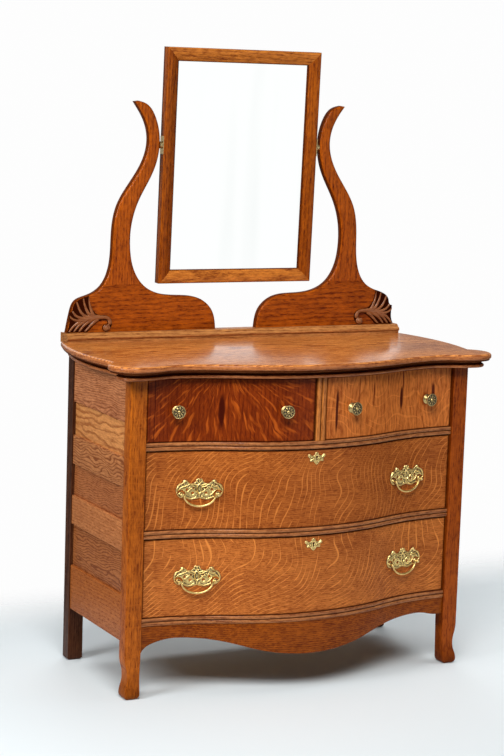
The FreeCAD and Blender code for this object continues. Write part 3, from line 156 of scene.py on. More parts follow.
def hill(values: Array, middle: float, width: float, power: int = 2) -> Array:
    """1 at the middle, falling to 0 on both sides; a higher power gives it a flatter top."""
    return np.exp(-((values - middle) / width) ** power)


def joined(shells: Iterable[Shell]) -> Shell:
    """Several shells as one."""
    first, *others = shells
    return sum(others, first)


def ring_at(axis: int, value: float | Array, loop: Array) -> Array:
    """A flat loop in space: the value stands on one axis (0 to 2), the loop on the other two."""
    return np.insert(loop, axis, value, axis=1)


def loft(rings: Array, closed: bool = False) -> Shell:
    """Skin a stack of closed rings: quads between neighbours, and a cap on each end.

    Args:
        rings: places, in the shape rings x points x 3.
        closed: whether the last ring runs back into the first, without caps.

    Returns:
        The shell.
    """
    count, around = rings.shape[:2]
    rows = np.arange(count if closed else count - 1)[:, None]
    across = np.arange(around)[None, :]
    after, beside = (rows + 1) % count, (across + 1) % around
    quads = np.stack([rows * around + across, rows * around + beside,
                      after * around + beside, after * around + across], -1).reshape(-1, 4)
    faces = [tuple(quad) for quad in quads.tolist()]
    if not closed:
        faces.append(tuple(range(around - 1, -1, -1)))
        faces.append(tuple(range((count - 1) * around, count * around)))
    return Shell(rings.reshape(-1, 3), faces)


def pushed_in(loop: Array, distance: float | Array) -> Array:
    """Parallel of a closed counter-clockwise loop: each corner moves in along its mean normal.

    Args:
        loop: the closed loop.
        distance: how far in, for the loop or for each corner.

    Returns:
        The parallel.
    """
    ahead = np.roll(loop, -1, 0) - loop
    ahead /= np.maximum(np.linalg.norm(ahead, axis=1), 1e-12)[:, None]
    behind = np.roll(ahead, 1, 0)
    normal = np.stack([-(ahead + behind)[:, 1], (ahead + behind)[:, 0]], 1)
    square = np.maximum((normal ** 2).sum(1), 0.4)
    return loop + normal * (2 * np.broadcast_to(distance, len(loop)) / square)[:, None]


def natural_spline(knots: Sequence[Point] | Array, count: int) -> Array:
    """Cubic spline through points, without bending at its ends.

    The parameter is the chord length; the second derivatives solve the usual
    tridiagonal equations, and each span is the cubic that they give.

    Args:
        knots: points to go through.
        count: points to return.

    Returns:
        Points along the spline.
    """
    places = np.asarray(knots, float)
    steps = np.linalg.norm(np.diff(places, axis=0), axis=1)
    at = np.concatenate([[0], np.cumsum(steps)])
    size = len(places)
    system, right = np.eye(size), np.zeros_like(places)
    inner = np.arange(1, size - 1)
    system[inner, inner - 1] = steps[:-1]
    system[inner, inner] = 2 * (steps[:-1] + steps[1:])
    system[inner, inner + 1] = steps[1:]
    slopes = np.diff(places, axis=0) / steps[:, None]
    right[1:-1] = 6 * np.diff(slopes, axis=0)
    bend = np.linalg.solve(system, right)
    where = np.linspace(0, at[-1], count)
    span = np.clip(np.searchsorted(at, where, side="right") - 1, 0, size - 2)
    width = steps[span][:, None]
    left, rest = (where - at[span])[:, None], (at[span + 1] - where)[:, None]
    return ((bend[span] * rest ** 3 + bend[span + 1] * left ** 3) / (6 * width)
            + (places[span] / width - bend[span] * width / 6) * rest
            + (places[span + 1] / width - bend[span + 1] * width / 6) * left)


def arc_points(centre: Point, radius: float, start: float, end: float, count: int) -> Array:
    """Points on a circle between two angles in radians."""
    turn = np.linspace(start, end, count)
    return np.stack([centre[0] + radius * np.cos(turn), centre[1] + radius * np.sin(turn)], 1)


def mirrored_loop(half: Array) -> Array:
    """A closed loop from its right half, which runs from the middle to the middle."""
    other = half[::-1] * (-1, 1)
    keep = np.abs(other[:, 0]) > 1e-6
    return np.vstack([half, other[keep]])


def signed_distance(points: Array, loop: Array) -> Array:
    """Distance of each point to a closed loop, positive inside.

    The distance is the least over the loop's edges, and the side comes from the count
    of edges that a ray towards +X crosses.

    Args:
        points: places in the loop's plane.
        loop: the closed loop.

    Returns:
        A distance for each point.
    """
    start, end = loop, np.roll(loop, -1, 0)
    best = np.full(len(points), np.inf)
    inside = np.zeros(len(points), bool)
    for chunk in np.array_split(np.arange(len(points)), max(1, len(points) // 4000)):
        spot = points[chunk][:, None, :]
        edge = (end - start)[None]
        share = unit(((spot - start) * edge).sum(-1) / np.maximum((edge ** 2).sum(-1), 1e-15))
        best[chunk] = np.linalg.norm(spot - start - share[..., None] * edge, axis=-1).min(1)
        level = (start[:, 1] > spot[..., 1]) != (end[:, 1] > spot[..., 1])
        rise = np.where(level, end[:, 1] - start[:, 1], 1.0)
        cross = start[:, 0] + (spot[..., 1] - start[:, 1]) * (end[:, 0] - start[:, 0]) / rise
        inside[chunk] = (level & (spot[..., 0] < cross)).sum(1) % 2 == 1
    return np.where(inside, best, -best)


def path_distance(points: Array, path: Array) -> tuple[Array, Array]:
    """Distance of each point to an open path, and the share of the path where it is nearest.

    Args:
        points: places in the path's plane.
        path: the corners of the path.

    Returns:
        A distance and a share from 0 to 1 for each point.
    """
    start, edge = path[:-1], np.diff(path, axis=0)
    length = np.linalg.norm(edge, axis=1)
    before = np.concatenate([[0], np.cumsum(length)])[:-1]
    best, along = np.full(len(points), np.inf), np.zeros(len(points))
    for chunk in np.array_split(np.arange(len(points)), max(1, len(points) // 4000)):
        spot = points[chunk][:, None, :]
        share = unit(((spot - start) * edge).sum(-1) / np.maximum(length ** 2, 1e-15))
        gap = np.linalg.norm(spot - start - share[..., None] * edge, axis=-1)
        nearest = gap.argmin(1)
        row = np.arange(len(chunk))
        best[chunk] = gap[row, nearest]
        along[chunk] = (before[nearest] + share[row, nearest] * length[nearest]) / length.sum()
    return best, along


def blurred(heights: Array, radius: int) -> Array:
    """Mean of a grid of heights over a square window, taken three times."""
    window = np.ones(2 * radius + 1) / (2 * radius + 1)
    for _ in range(3):
        heights = np.pad(heights, radius, mode="edge")
        for axis in (0, 1):
            heights = np.apply_along_axis(np.convolve, axis, heights, window, "valid")
    return heights


def relief(outline: Array, cell: float, height: Callable[[Array, Array], Array],
           holes: Sequence[Array] = ()) -> Shell:
    """Cast or carve a plate: a height over a flat outline, with a flat back.

    A square grid covers the outline.  Grid points near the edge are pulled on to it,
    squares that lie inside are kept, and each gets a twin on the back.  Walls close the
    rim, where only one square meets an edge.

    Args:
        outline: closed loop in the plate's plane.
        cell: spacing of the grid.
        height: rule that gives the height from places and their depth inside the edge.
        holes: closed loops that are cut through.

    Returns:
        The shell, with across, up and height as its three coordinates.
    """
    low, high = outline.min(0) - 2 * cell, outline.max(0) + 2 * cell
    across, up = np.arange(low[0], high[0], cell), np.arange(low[1], high[1], cell)
    grid = np.stack(np.meshgrid(across, up), -1)
    flat = grid.reshape(-1, 2)
    depth = signed_distance(flat, outline)
    for hole in holes:
        depth = np.minimum(depth, -signed_distance(flat, hole))
    depths = depth.reshape(grid.shape[:2])
    slope = np.stack([np.gradient(depths, cell, axis=way) for way in (1, 0)], -1).reshape(-1, 2)
    slope /= np.maximum(np.linalg.norm(slope, axis=1), 1e-9)[:, None]
    inside, outside, margin = 0.55 * cell, 0.75 * cell, 0.025 * cell
    near = (depth < inside) & (depth > -outside)
    flat = np.where(near[:, None], flat - slope * (depth - margin)[:, None], flat)
    depth = np.where(near, 0.0, depth)
    usable = (depth >= 0).reshape(grid.shape[:2])
    level = height(flat, np.maximum(depth, 0))
    shape = level.reshape(grid.shape[:2])
    dip = (blurred(shape, 3) - shape).ravel()
    scale = np.percentile(np.abs(dip[depth > 0]), 92) + 1e-9
    hollow = unit(0.5 + 0.5 * dip / scale)
    kept = usable[:-1, :-1] & usable[1:, :-1] & usable[:-1, 1:] & usable[1:, 1:]
    row, column = np.nonzero(kept)
    wide = grid.shape[1]
    first = row * wide + column
    quads = np.stack([first, first + 1, first + wide + 1, first + wide], 1)
    total = len(flat)
    edges = np.concatenate([np.stack([quads[:, n], quads[:, (n + 1) % 4]], 1) for n in range(4)])
    code = edges[:, 0] * total + edges[:, 1]
    rim = edges[~np.isin(code, edges[:, 1] * total + edges[:, 0])]
    walls = np.stack([rim[:, 1], rim[:, 0], rim[:, 0] + total, rim[:, 1] + total], 1)
    every = np.concatenate([quads, quads[:, ::-1] + total, walls])
    used, numbers = np.unique(every, return_inverse=True)
    points = np.vstack([ring_at(2, level, flat), ring_at(2, 0.0, flat)])
    both = np.concatenate([hollow, np.full(total, 0.7)])
    return Shell(points[used], [tuple(face) for face in numbers.reshape(every.shape).tolist()], both[used])


def turned(profile: Array, segments: int,
           ripple: Callable[[Array, Array], Array] | None = None) -> Shell:
    """Turn a profile of (radius, height) round the third axis.

    Args:
        profile: points from the middle of one end to the middle of the other.
        segments: steps round the axis.
        ripple: rule that adds to the height, from the radius and the angle.

    Returns:
        The shell, closed where the profile meets the axis.
    """
    angle = np.linspace(0, 2 * math.pi, segments, endpoint=False)
    radius, level = profile[:, 0][:, None], profile[:, 1][:, None]
    lift = ripple(radius, angle[None, :]) if ripple else np.zeros((len(profile), segments))
    rings = np.stack([radius * np.cos(angle), radius * np.sin(angle), level + lift], -1)
    return loft(rings)


def tube(path: Array, radius: Array, segments: int) -> Shell:
    """Round rod along a path.

    Each ring is square to the path; its first direction is the part of a fixed one, the
    axis that the path follows least, that is square to the path.

    Args:
        path: places along the middle line.
        radius: radius at each place.
        segments: steps round the rod.

    Returns:
        The shell, with a cap on each end.
    """
    ahead = np.gradient(path, axis=0)
    ahead /= np.linalg.norm(ahead, axis=1)[:, None]
    fixed = np.eye(3)[np.abs(ahead).max(0).argmin()]
    first = fixed - ahead * (ahead @ fixed)[:, None]
    first /= np.linalg.norm(first, axis=1)[:, None]
    second = np.cross(ahead, first)
    angle = np.linspace(0, 2 * math.pi, segments, endpoint=False)
    wave, other = np.cos(angle)[None, :, None], np.sin(angle)[None, :, None]
    circle = first[:, None] * wave + second[:, None] * other
    return loft(path[:, None] + radius[:, None, None] * circle)


# ------------------------------------------------------------------- the curved front
@dataclass(frozen=True)
class CurvedFront:
    """Serpentine of the drawers: a bow in the middle between two hollows.

    The bow and the hollows are circles of one radius, (span^2 + bulge^2) / (4 bulge),
    which meet half way along the span.
    """

    span: float = 0.437
    bulge: float = 0.0835

    @property
    def radius(self) -> float:
        """Radius of the bow and of the hollows."""
        return (self.span ** 2 + self.bulge ** 2) / (4 * self.bulge)

    def depth(self, reach: Array | float, ahead: Array | float) -> Array:
        """Depth of the curve, moved forward by a distance, at a reach from the middle.

        Args:
            reach: distance from the middle, to either side.
            ahead: how far the parallel lies before the curve.

        Returns:
            Depth behind the plane of the posts.
        """
        reach, ahead = np.broadcast_arrays(np.asarray(reach, float), np.asarray(ahead, float))
        radius, away = self.radius, np.abs(reach)
        bow = radius - self.bulge - np.sqrt(np.maximum((radius + ahead) ** 2 - reach ** 2, 0))
        hollow = -radius + np.sqrt(np.maximum((radius - ahead) ** 2 - (self.span - away) ** 2, 0))
        return np.where(away < self.span / 2 * (1 + ahead / radius), bow, hollow)

    def turn(self, reach: float, ahead: float) -> Point:
        """Radius of the circle at a reach, less than 0 on the bow, and the angle of the face there."""
        if abs(reach) > self.span / 2 * (1 + ahead / self.radius):
            curve = self.radius - ahead
            return curve, math.copysign(1, reach) * math.asin((self.span - abs(reach)) / curve)
        curve = self.radius + ahead
        return -curve, math.asin(reach / curve)

    def place(self, reach: float, height: float, bent: bool = True) -> Rule:
        """Rule that lays a flat fitting on a drawer's face.

        A point (across, up, out) turns with the face about the centre of its circle, so
        that a plate hugs the hollow or the bow.

        Args:
            reach: place of the fitting's middle.
            height: height of the fitting's middle.
            bent: whether the fitting bends with the face, or is only turned to it.

        Returns:
            The rule.
        """
        curve, angle = self.turn(reach, FACE_AHEAD)
        middle = np.array([reach, FRONT + float(self.depth(reach, FACE_AHEAD)), height])
        across = np.array([math.cos(angle), math.sin(angle), 0.0])
        out = np.array([math.sin(angle), -math.cos(angle), 0.0])

        def rule(points: Array) -> Array:
            """Put the points on the face.

            Args:
                points: across, ahead of the face, and up.

            Returns:
                The same points in the frame.
            """
            aside, forward = points[:, :1], points[:, 2:]
            if bent:
                turn, away = aside / curve, curve - forward
                aside, forward = away * np.sin(turn), curve - away * np.cos(turn)
            spot = across * aside + out * forward
            spot[:, 2] = points[:, 1]
            return spot + middle
        return rule


FACE = CurvedFront()


# -------------------------------------------------------------------- finishes: shaders
class Shader:
    """Short way to add and join shader nodes in one tree."""

    def __init__(self, tree: bpy.types.NodeTree) -> None:
        """Keep the tree."""
        self.tree = tree

    def feed(self, node: bpy.types.Node, inputs: dict[str | int, object]) -> None:
        """Give each named input of a node its value, or join it to an output socket."""
        for key, value in inputs.items():
            if isinstance(value, Socket):
                self.tree.links.new(value, node.inputs[key])
            else:
                node.inputs[key].default_value = value

    def add(self, kind: str, inputs: dict[str | int, object] | None = None,
            **settings: object) -> bpy.types.Node:
        """Add a node.

        Args:
            kind: Blender's name of the node.
            inputs: a value or an output socket for each input, by name or number.
            settings: properties of the node.

        Returns:
            The node.
        """
        node = self.tree.nodes.new(kind)
        for key, value in settings.items():
            setattr(node, key, value)
        self.feed(node, inputs or {})
        return node

    def group(self, name: str, inputs: dict[str | int, object]) -> Sockets:
        """Add a node group, and give its outputs."""
        return self.add("ShaderNodeGroup", inputs, node_tree=bpy.data.node_groups[name]).outputs

    def place(self) -> Socket:
        """Place on the piece, in metres."""
        return self.add("ShaderNodeTexCoord").outputs["Object"]

    def hollow(self) -> Socket:
        """How deep the point lies, or how near a shaded edge: 0 proud, 1 deep; the mask of painted shade in
        the wood and of dirt in the brass.
        """
        return self.add("ShaderNodeAttribute", attribute_name="hollow").outputs["Fac"]

    def math(self, operation: str, first: object, second: object = 0.0, third: object = 0.0) -> Socket:
        """One step of arithmetic on values."""
        return self.add("ShaderNodeMath", {0: first, 1: second, 2: third}, operation=operation).outputs[0]

    def plus(self, first: object, second: object) -> Socket:
        """The sum of two values."""
        return self.math("ADD", first, second)

    def minus(self, first: object, second: object) -> Socket:
        """The first value less the second."""
        return self.math("SUBTRACT", first, second)

    def times(self, first: object, second: object) -> Socket:
        """The product of two values."""
        return self.math("MULTIPLY", first, second)

    def vector(self, operation: str, first: object, second: object = (0.0, 0.0, 0.0)) -> Socket:
        """One step of arithmetic on vectors."""
        node = self.add("ShaderNodeVectorMath", {0: first, 1: second}, operation=operation)
        return node.outputs["Value" if operation == "LENGTH" else 0]

    def parts(self, place: object) -> Sockets:
        """The three numbers of a place."""
        return self.add("ShaderNodeSeparateXYZ", {0: place}).outputs

    def noise(self, place: object, scale: float | Place, detail: float = 2.0, rough: float = 0.5,
              warp: float = 0.0, coloured: bool = False) -> Socket:
        """Noise from 0 to 1.

        Args:
            place: where to read it.
            scale: one number, or three that stretch it along the axes.
            detail: how many finer layers it has.
            rough: share of the finer layers.
            warp: how far it is distorted.
            coloured: whether to give three numbers as a colour, in place of one.

        Returns:
            The socket.
        """
        if isinstance(scale, tuple):
            place, scale = self.vector("MULTIPLY", place, scale), 1.0
        node = self.add("ShaderNodeTexNoise", {"Vector": place, "Scale": scale, "Detail": detail,
                                               "Roughness": rough, "Distortion": warp})
        return node.outputs[1 if coloured else 0]

    def strayed(self, place: Socket, scale: float | Place, reach: object, detail: float = 2.0,
                rough: float = 0.5) -> Socket:
        """The place moved by noise, by half the reach at most."""
        shift = self.noise(place, scale, detail, rough, coloured=True)
        shift = self.vector("SUBTRACT", shift, (0.5, 0.5, 0.5))
        return self.vector("ADD", place, self.vector("MULTIPLY", shift, reach))

    def between(self, value: object, low: float, high: float) -> Socket:
        """0 below the low value, 1 above the high one, smooth between; either may be larger."""
        return self.add("ShaderNodeMapRange", {0: value, 1: low, 2: high},
                        interpolation_type="SMOOTHSTEP", clamp=True).outputs[0]

    def blend(self, share: object, first: object, second: object) -> Socket:
        """Mix two colours."""
        return self.add("ShaderNodeMix", {0: share, 6: first, 7: second}, data_type="RGBA").outputs[2]

    def bump(self, height: Socket, strength: float, distance: float) -> Socket:
        """Normal of a surface with a relief."""
        return self.add("ShaderNodeBump", {"Height": height, "Strength": strength,
                                           "Distance": distance}).outputs[0]


def fresh_material(name: str) -> tuple[bpy.types.Material, Shader, bpy.types.Node]:
    """A new material, the helper for its nodes, and its Principled BSDF."""
    made = bpy.data.materials.new(name)
    made.use_nodes = True
    return made, Shader(made.node_tree), made.node_tree.nodes["Principled BSDF"]


def node_group(name: str, inputs: dict[str, tuple[str, ...]], outputs: dict[str, tuple[str, ...]]
               ) -> tuple[Shader, Sockets, bpy.types.Node]:
    """Start a shader node group.

    Args:
        name: the group's name.
        inputs: labels of the inputs of each kind.
        outputs: labels of the outputs of each kind.

    Returns:
        The shader helper, the sockets that give the inputs, and the node for the outputs.
    """
    tree = bpy.data.node_groups.new(name, "ShaderNodeTree")
    for way, kinds in (("INPUT", inputs), ("OUTPUT", outputs)):
        for kind, labels in kinds.items():
            for label in labels:
                tree.interface.new_socket(label, in_out=way, socket_type="NodeSocket" + kind)
    return Shader(tree), tree.nodes.new("NodeGroupInput").outputs, tree.nodes.new("NodeGroupOutput")


# Inputs of the oak group that are fields of Oak.
OAK_FIELDS = ("spacing", "taper", "waviness", "rings", "pores", "rays", "ray_spacing", "ray_bend",
              "curl", "patches", "mottle")


def oak_group() -> None:
    """Oak as a tree grows it, with the fibres along X.

    Growth rings are cones round an axis: the distance from the axis, plus a taper along
    it and slow noise, over the ring spacing.  The start of each ring is dark and full of
    open pores, which are short dashes along the fibres.  Curl bends the rings round burls.
    Rays are lighter lines across the fibres: the place along them, less a parabola of the
    height above or below a level, plus a slow bend, over the ray spacing.  They are drawn
    only where a second noise is high, so that they swell and break off.
    """
    shader, given, result = node_group(
        "oak", {"Vector": ("place",), "Color": ("light", "dark", "ray_colour"),
                "Float": (*OAK_FIELDS, "arc_level", "arc_above", "arc_below")},
        {"Color": ("colour",), "Float": ("roughness", "height")})
    plus, minus, times, noise = shader.plus, shader.minus, shader.times, shader.noise
    place = given["place"]
    wavy = shader.parts(shader.strayed(place, (3.5, 11.0, 11.0), given["waviness"], 2.5, 0.55))
    radius = shader.math("SQRT", plus(times(wavy[1], wavy[1]), times(wavy[2], wavy[2])))
    radius = plus(radius, times(wavy[0], given["taper"]))
    radius = plus(radius, times(noise(place, (13.0, 26.0, 26.0), 1.0, 0.4), given["curl"]))
    uneven = times(noise(place, (9.0, 60.0, 60.0), 3.0), 0.9)
    phase = shader.math("FRACT", plus(shader.math("DIVIDE", radius, given["spacing"]), uneven))
    early = plus(shader.between(phase, 0.5, 0.04), shader.between(phase, 0.93, 1.0))
    dash = noise(place, (70.0, 480.0, 480.0), 3.0, 0.65)
    pore = times(shader.between(dash, 0.48, 0.62), shader.math("MULTIPLY_ADD", early, 0.4, 0.6))
    mottle = noise(place, (42.0, 130.0, 130.0), 2.0, 0.6)
    thread = noise(place, (16.0, 300.0, 300.0), 2.0, 0.6)
    patch = noise(place, (3.0, 14.0, 14.0), 3.0, 0.55)
    dark = shader.math("MULTIPLY_ADD", early, given["rings"], 0.15)
    for value, share in ((pore, given["pores"]), (minus(patch, 0.42), given["patches"]),
                         (minus(thread, 0.45), 0.8), (minus(mottle, 0.5), given["mottle"])):
        dark = plus(dark, times(value, share))
    dark = shader.math("MINIMUM", shader.math("MAXIMUM", dark, 0.0), 1.0)
    base = shader.blend(dark, given["light"], given["dark"])
    shader.feed(result, {
        "colour": shader.blend(oak_rays(shader, given), base, given["ray_colour"]),
        "roughness": times(pore, 0.25),
        "height": shader.math("MULTIPLY_ADD", pore, -0.6, times(early, -0.25))})


def oak_rays(shader: Shader, given: Sockets) -> Socket:
    """How much of a ray is at the place, from the inputs of the oak group.

    Args:
        shader: helper of the oak group's node tree.
        given: the group's inputs.

    Returns:
        A socket from 0, no ray, to 1.
    """
    place = given["place"]
    spot = shader.parts(place)
    sway = shader.minus(shader.noise(place, 6.5, 1.0, 0.4), 0.5)
    line = shader.plus(spot[0], shader.times(sway, given["ray_bend"]))
    rise = shader.minus(spot[2], given["arc_level"])
    for way, label in (("MAXIMUM", "arc_above"), ("MINIMUM", "arc_below")):
        square = shader.math("POWER", shader.math("ABSOLUTE", shader.math(way, rise, 0.0)), 2.0)
        line = shader.minus(line, shader.times(square, given[label]))
    phase = shader.math("FRACT", shader.math("DIVIDE", line, given["ray_spacing"]))
    step = shader.math("ABSOLUTE", shader.minus(phase, 0.5))
    swell = shader.noise(place, (34.0, 11.0, 11.0), 2.0, 0.5)
    width = shader.math("MAXIMUM", shader.times(shader.minus(swell, 0.4), 0.6), 0.001)
    ray = shader.between(shader.math("DIVIDE", step, width), 1.0, 0.35)
    return shader.times(ray, given["rays"])


def flame_group() -> None:
    """Flame figure of a veneer cut through a fork of the tree.

    Around the fork, a point has an angle and a distance.  Noise that changes fast with
    the angle and slowly with the distance gives long flecks that fan out.
    """
    shader, given, result = node_group("flame", {"Vector": ("place",)}, {"Float": ("fleck", "shade")})
    x, _, z = shader.parts(shader.strayed(given["place"], 13.0, (0.03, 0.0, 0.03)))
    angle = shader.math("ARCTAN2", x, shader.times(z, -1.0))
    away = shader.math("SQRT", shader.plus(shader.times(x, x), shader.times(z, z)))
    fan = shader.add("ShaderNodeCombineXYZ", {0: shader.times(angle, 23.0),
                                              1: shader.times(away, 20.0)}).outputs[0]
    fleck = shader.noise(fan, 1.0, 1.5, 0.45, 0.5)
    shade = shader.noise(shader.vector("ADD", fan, (7.0, 3.0, 0.0)), 1.3)
    shader.feed(result, {"fleck": shader.between(fleck, 0.53, 0.74),
                         "shade": shader.between(shade, 0.4, 0.75)})


def mark_group() -> None:
    """Spindle round a place: 1 inside an ellipse in X and Z whose edge is frayed by noise."""
    shader, given, result = node_group("mark", {"Vector": ("place", "middle", "per_size")},
                                       {"Float": ("mask",)})
    frayed = shader.strayed(given["place"], (90.0, 1.0, 30.0), (0.006, 0.0, 0.01))
    away = shader.vector("SUBTRACT", frayed, given["middle"])
    size = shader.vector("LENGTH", shader.vector("MULTIPLY", away, given["per_size"]))
    shader.feed(result, {"mask": shader.between(size, 1.1, 0.6)})


class Grain(Enum):
    """Direction of the fibres, as the turn that brings it on to X."""

    ACROSS = (0.0, 0.0, 0.0)
    DEEP = (0.0, 0.0, -math.pi / 2)
    UPRIGHT = (0.0, math.pi / 2, 0.0)


@dataclass(frozen=True)
class Mark:
    """A streak in a veneer: its place (x, z), half width, half length, and how dark it is."""

    place: Point
    size: Point
    depth: float = 1.0


@dataclass(frozen=True)
class Oak:
    """Shellacked oak: its tone, how it was sawn, and its polish."""

    name: str
    grain: Grain = Grain.ACROSS
    tone: Colour = (0.45, 0.14, 0.032)
    contrast: float = 1.0
    pith: Place = (0.3, 0.06, -0.9)
    spacing: float = 0.006
    taper: float = 0.02
    waviness: float = 0.012
    rings: float = 0.45
    pores: float = 0.5
    rays: float = 0.0
    ray_spacing: float = 0.012
    ray_bend: float = 0.05
    ray_light: float = 0.7
    ray_arc: Place = (0.0, 0.0, 0.0)
    curl: float = 0.0
    patches: float = 0.8
    mottle: float = 1.2
    roughness: float = 0.36
    coat: float = 0.06
    coat_roughness: float = 0.18
    specular: float = 0.07
    bump: float = 0.25
    # strength of the darkening by the hollow mask: painted shade in grooves, gaps, recesses and edges
    shade_and_dirt: float = 0.0
    flame: Place | None = None
    marks: tuple[Mark, ...] = ()

    def shade(self, step: float) -> tuple[float, float, float, float]:
        """The tone made paler by a positive step, or darker and redder by a negative one."""
        red, green, blue = (part * math.exp(step * rate) for part, rate in zip(self.tone, (0.85, 1.2, 1.4)))
        return red, green, blue, 1.0

    def grown(self, shader: Shader, place: Socket) -> Sockets:
        """Outputs of the oak group for this wood."""
        turned_place = shader.add("ShaderNodeMapping", {"Vector": place, "Rotation": self.grain.value,
                                                        "Location": self.pith}).outputs[0]
        level, above, below = self.ray_arc
        return shader.group("oak", {
            "place": turned_place, "light": self.shade(0.4 * self.contrast),
            "dark": self.shade(-self.contrast), "ray_colour": self.shade(self.ray_light),
            "arc_level": level + self.pith[2], "arc_above": above, "arc_below": below,
            **{label: getattr(self, label) for label in OAK_FIELDS}})

    def figured(self, shader: Shader, place: Socket, colour: Socket) -> Socket:
        """The colour with the flame figure and the streaks laid over it."""
        if self.flame:
            from_fork = shader.vector("SUBTRACT", place, self.flame)
            flame = shader.group("flame", {"place": from_fork})
            colour = shader.blend(shader.times(flame["shade"], 0.6), colour, self.shade(-self.contrast))
            colour = shader.blend(shader.times(flame["fleck"], 0.75), colour, self.shade(self.ray_light))
        for mark in self.marks:
            (x, z), (wide, tall) = mark.place, mark.size
            spindle = shader.group("mark", {"place": place, "middle": (x, 0.0, z),
                                            "per_size": (1 / wide, 0.0, 1 / tall)})
            colour = shader.blend(spindle["mask"], colour, self.shade(-1.6 * mark.depth))
        return colour

    def material(self) -> bpy.types.Material:
        """Build the material: figured wood, darkened by its hollow mask (painted shade in grooves, gaps,
        recesses and turned-back edges, and darker towards the floor on the posts), and shellac where it isn't
        darkened.
        """
        made, shader, finish = fresh_material(self.name)
        place = shader.place()
        oak = self.grown(shader, place)
        colour, coat, specular = self.figured(shader, place, oak["colour"]), self.coat, self.specular
        # Painted shade: the hollow mask darkens the colour and takes off the shellac's shine there; on the
        # posts it also darkens towards the floor.
        if self.shade_and_dirt:
            shade_and_dirt_mask = shader.times(shader.between(shader.hollow(), 0.4, 0.8), self.shade_and_dirt)
            colour = shader.blend(shade_and_dirt_mask, colour, self.shade(-2.6))
            unshaded_share = shader.minus(1.0, shade_and_dirt_mask)
            coat, specular = shader.times(unshaded_share, self.coat), shader.times(unshaded_share, self.specular)
        shader.feed(finish, {
            "Base Color": colour, "Roughness": shader.plus(oak["roughness"], self.roughness),
            "Specular IOR Level": specular, "Coat Weight": coat, "Coat Roughness": self.coat_roughness,
            "Normal": shader.bump(oak["height"], self.bump, 0.0004),
            "Coat Normal": shader.bump(oak["height"], self.bump * 0.5, 0.0002)})
        return made


@dataclass(frozen=True)
class Metal:
    """Cast or worked metal, bright where hands rub it and dark in its hollows."""

    name: str
    bright: Colour
    dull: Colour
    shade_and_dirt: Colour = (0.035, 0.022, 0.01)
    roughness: float = 0.26
    hollows: float = 1.0

    def material(self) -> bpy.types.Material:
        """Build the material: blotched metal, with dull dirt where its surface dips."""
        made, shader, finish = fresh_material(self.name)
        place = shader.place()
        blotch, fine = shader.noise(place, 210.0, 4.0, 0.6), shader.noise(place, 1400.0, 3.0, 0.6)
        colour = shader.blend(shader.between(blotch, 0.4, 0.65), (*self.bright, 1), (*self.dull, 1))
        uneven = shader.plus(shader.hollow(), shader.times(shader.minus(fine, 0.5), 0.25))
        shade_and_dirt_mask = shader.times(shader.between(uneven, 0.5, 0.78), self.hollows)
        worn = shader.math("MULTIPLY_ADD", blotch, 0.16, self.roughness - 0.08)
        shader.feed(finish, {
            "Base Color": shader.blend(shade_and_dirt_mask, colour, (*self.shade_and_dirt, 1)),
            "Metallic": shader.minus(1.0, shader.times(shade_and_dirt_mask, 0.8)),
            "Roughness": shader.plus(worn, shader.times(shade_and_dirt_mask, 0.3)),
            "Normal": shader.bump(fine, 0.2, 0.0002)})
        return made


@dataclass(frozen=True)
class MirrorGlass:
    """Old silvered plate with a faint tint and slight clouding."""

    name: str = "silvered plate"

    def material(self) -> bpy.types.Material:
        """Build the material."""
        made, shader, finish = fresh_material(self.name)
        streak = shader.noise(shader.place(), (9.0, 1.0, 0.8))
        tint = shader.blend(shader.between(streak, 0.45, 0.7), (0.97, 0.985, 0.98, 1), (0.89, 0.92, 0.91, 1))
        shader.feed(finish, {"Base Color": tint, "Metallic": 1.0,
                             "Roughness": shader.times(shader.between(streak, 0.5, 0.8), 0.03)})
        return made


# Show wood: uprights
POST_OAK = Oak("post oak", Grain.UPRIGHT, (0.3681, 0.079, 0.0052), pith=(0.1, 0.05, 0.7), spacing=0.007,
               rings=0.15, pores=0.6, rays=0.3, ray_spacing=0.02, ray_light=0.35, shade_and_dirt=0.5)
# The right post: the post oak with a darker tone, as painted shade, for less light reaches it.
SHADED_RIGHT_POST_OAK = replace(POST_OAK, name="painted shade right post oak", tone=(0.2851, 0.0481, 0.0028),
                         pith=(0.3, 0.05, 0.7))
# Rear posts: a very dark tone, painted shade, for they stand in shadow.
SHADED_REAR_POST_OAK = Oak("painted shade rear post oak", Grain.UPRIGHT, (0.06, 0.017, 0.006), pith=(0.1, 0.05, 0.7), rings=0.3)
DIVIDER_OAK = Oak("divider oak", Grain.UPRIGHT, (0.4431, 0.1274, 0.0214), pith=(0.1, 0.05, 0.7), rings=0.3,
                  coat=0.4, shade_and_dirt=0.8)

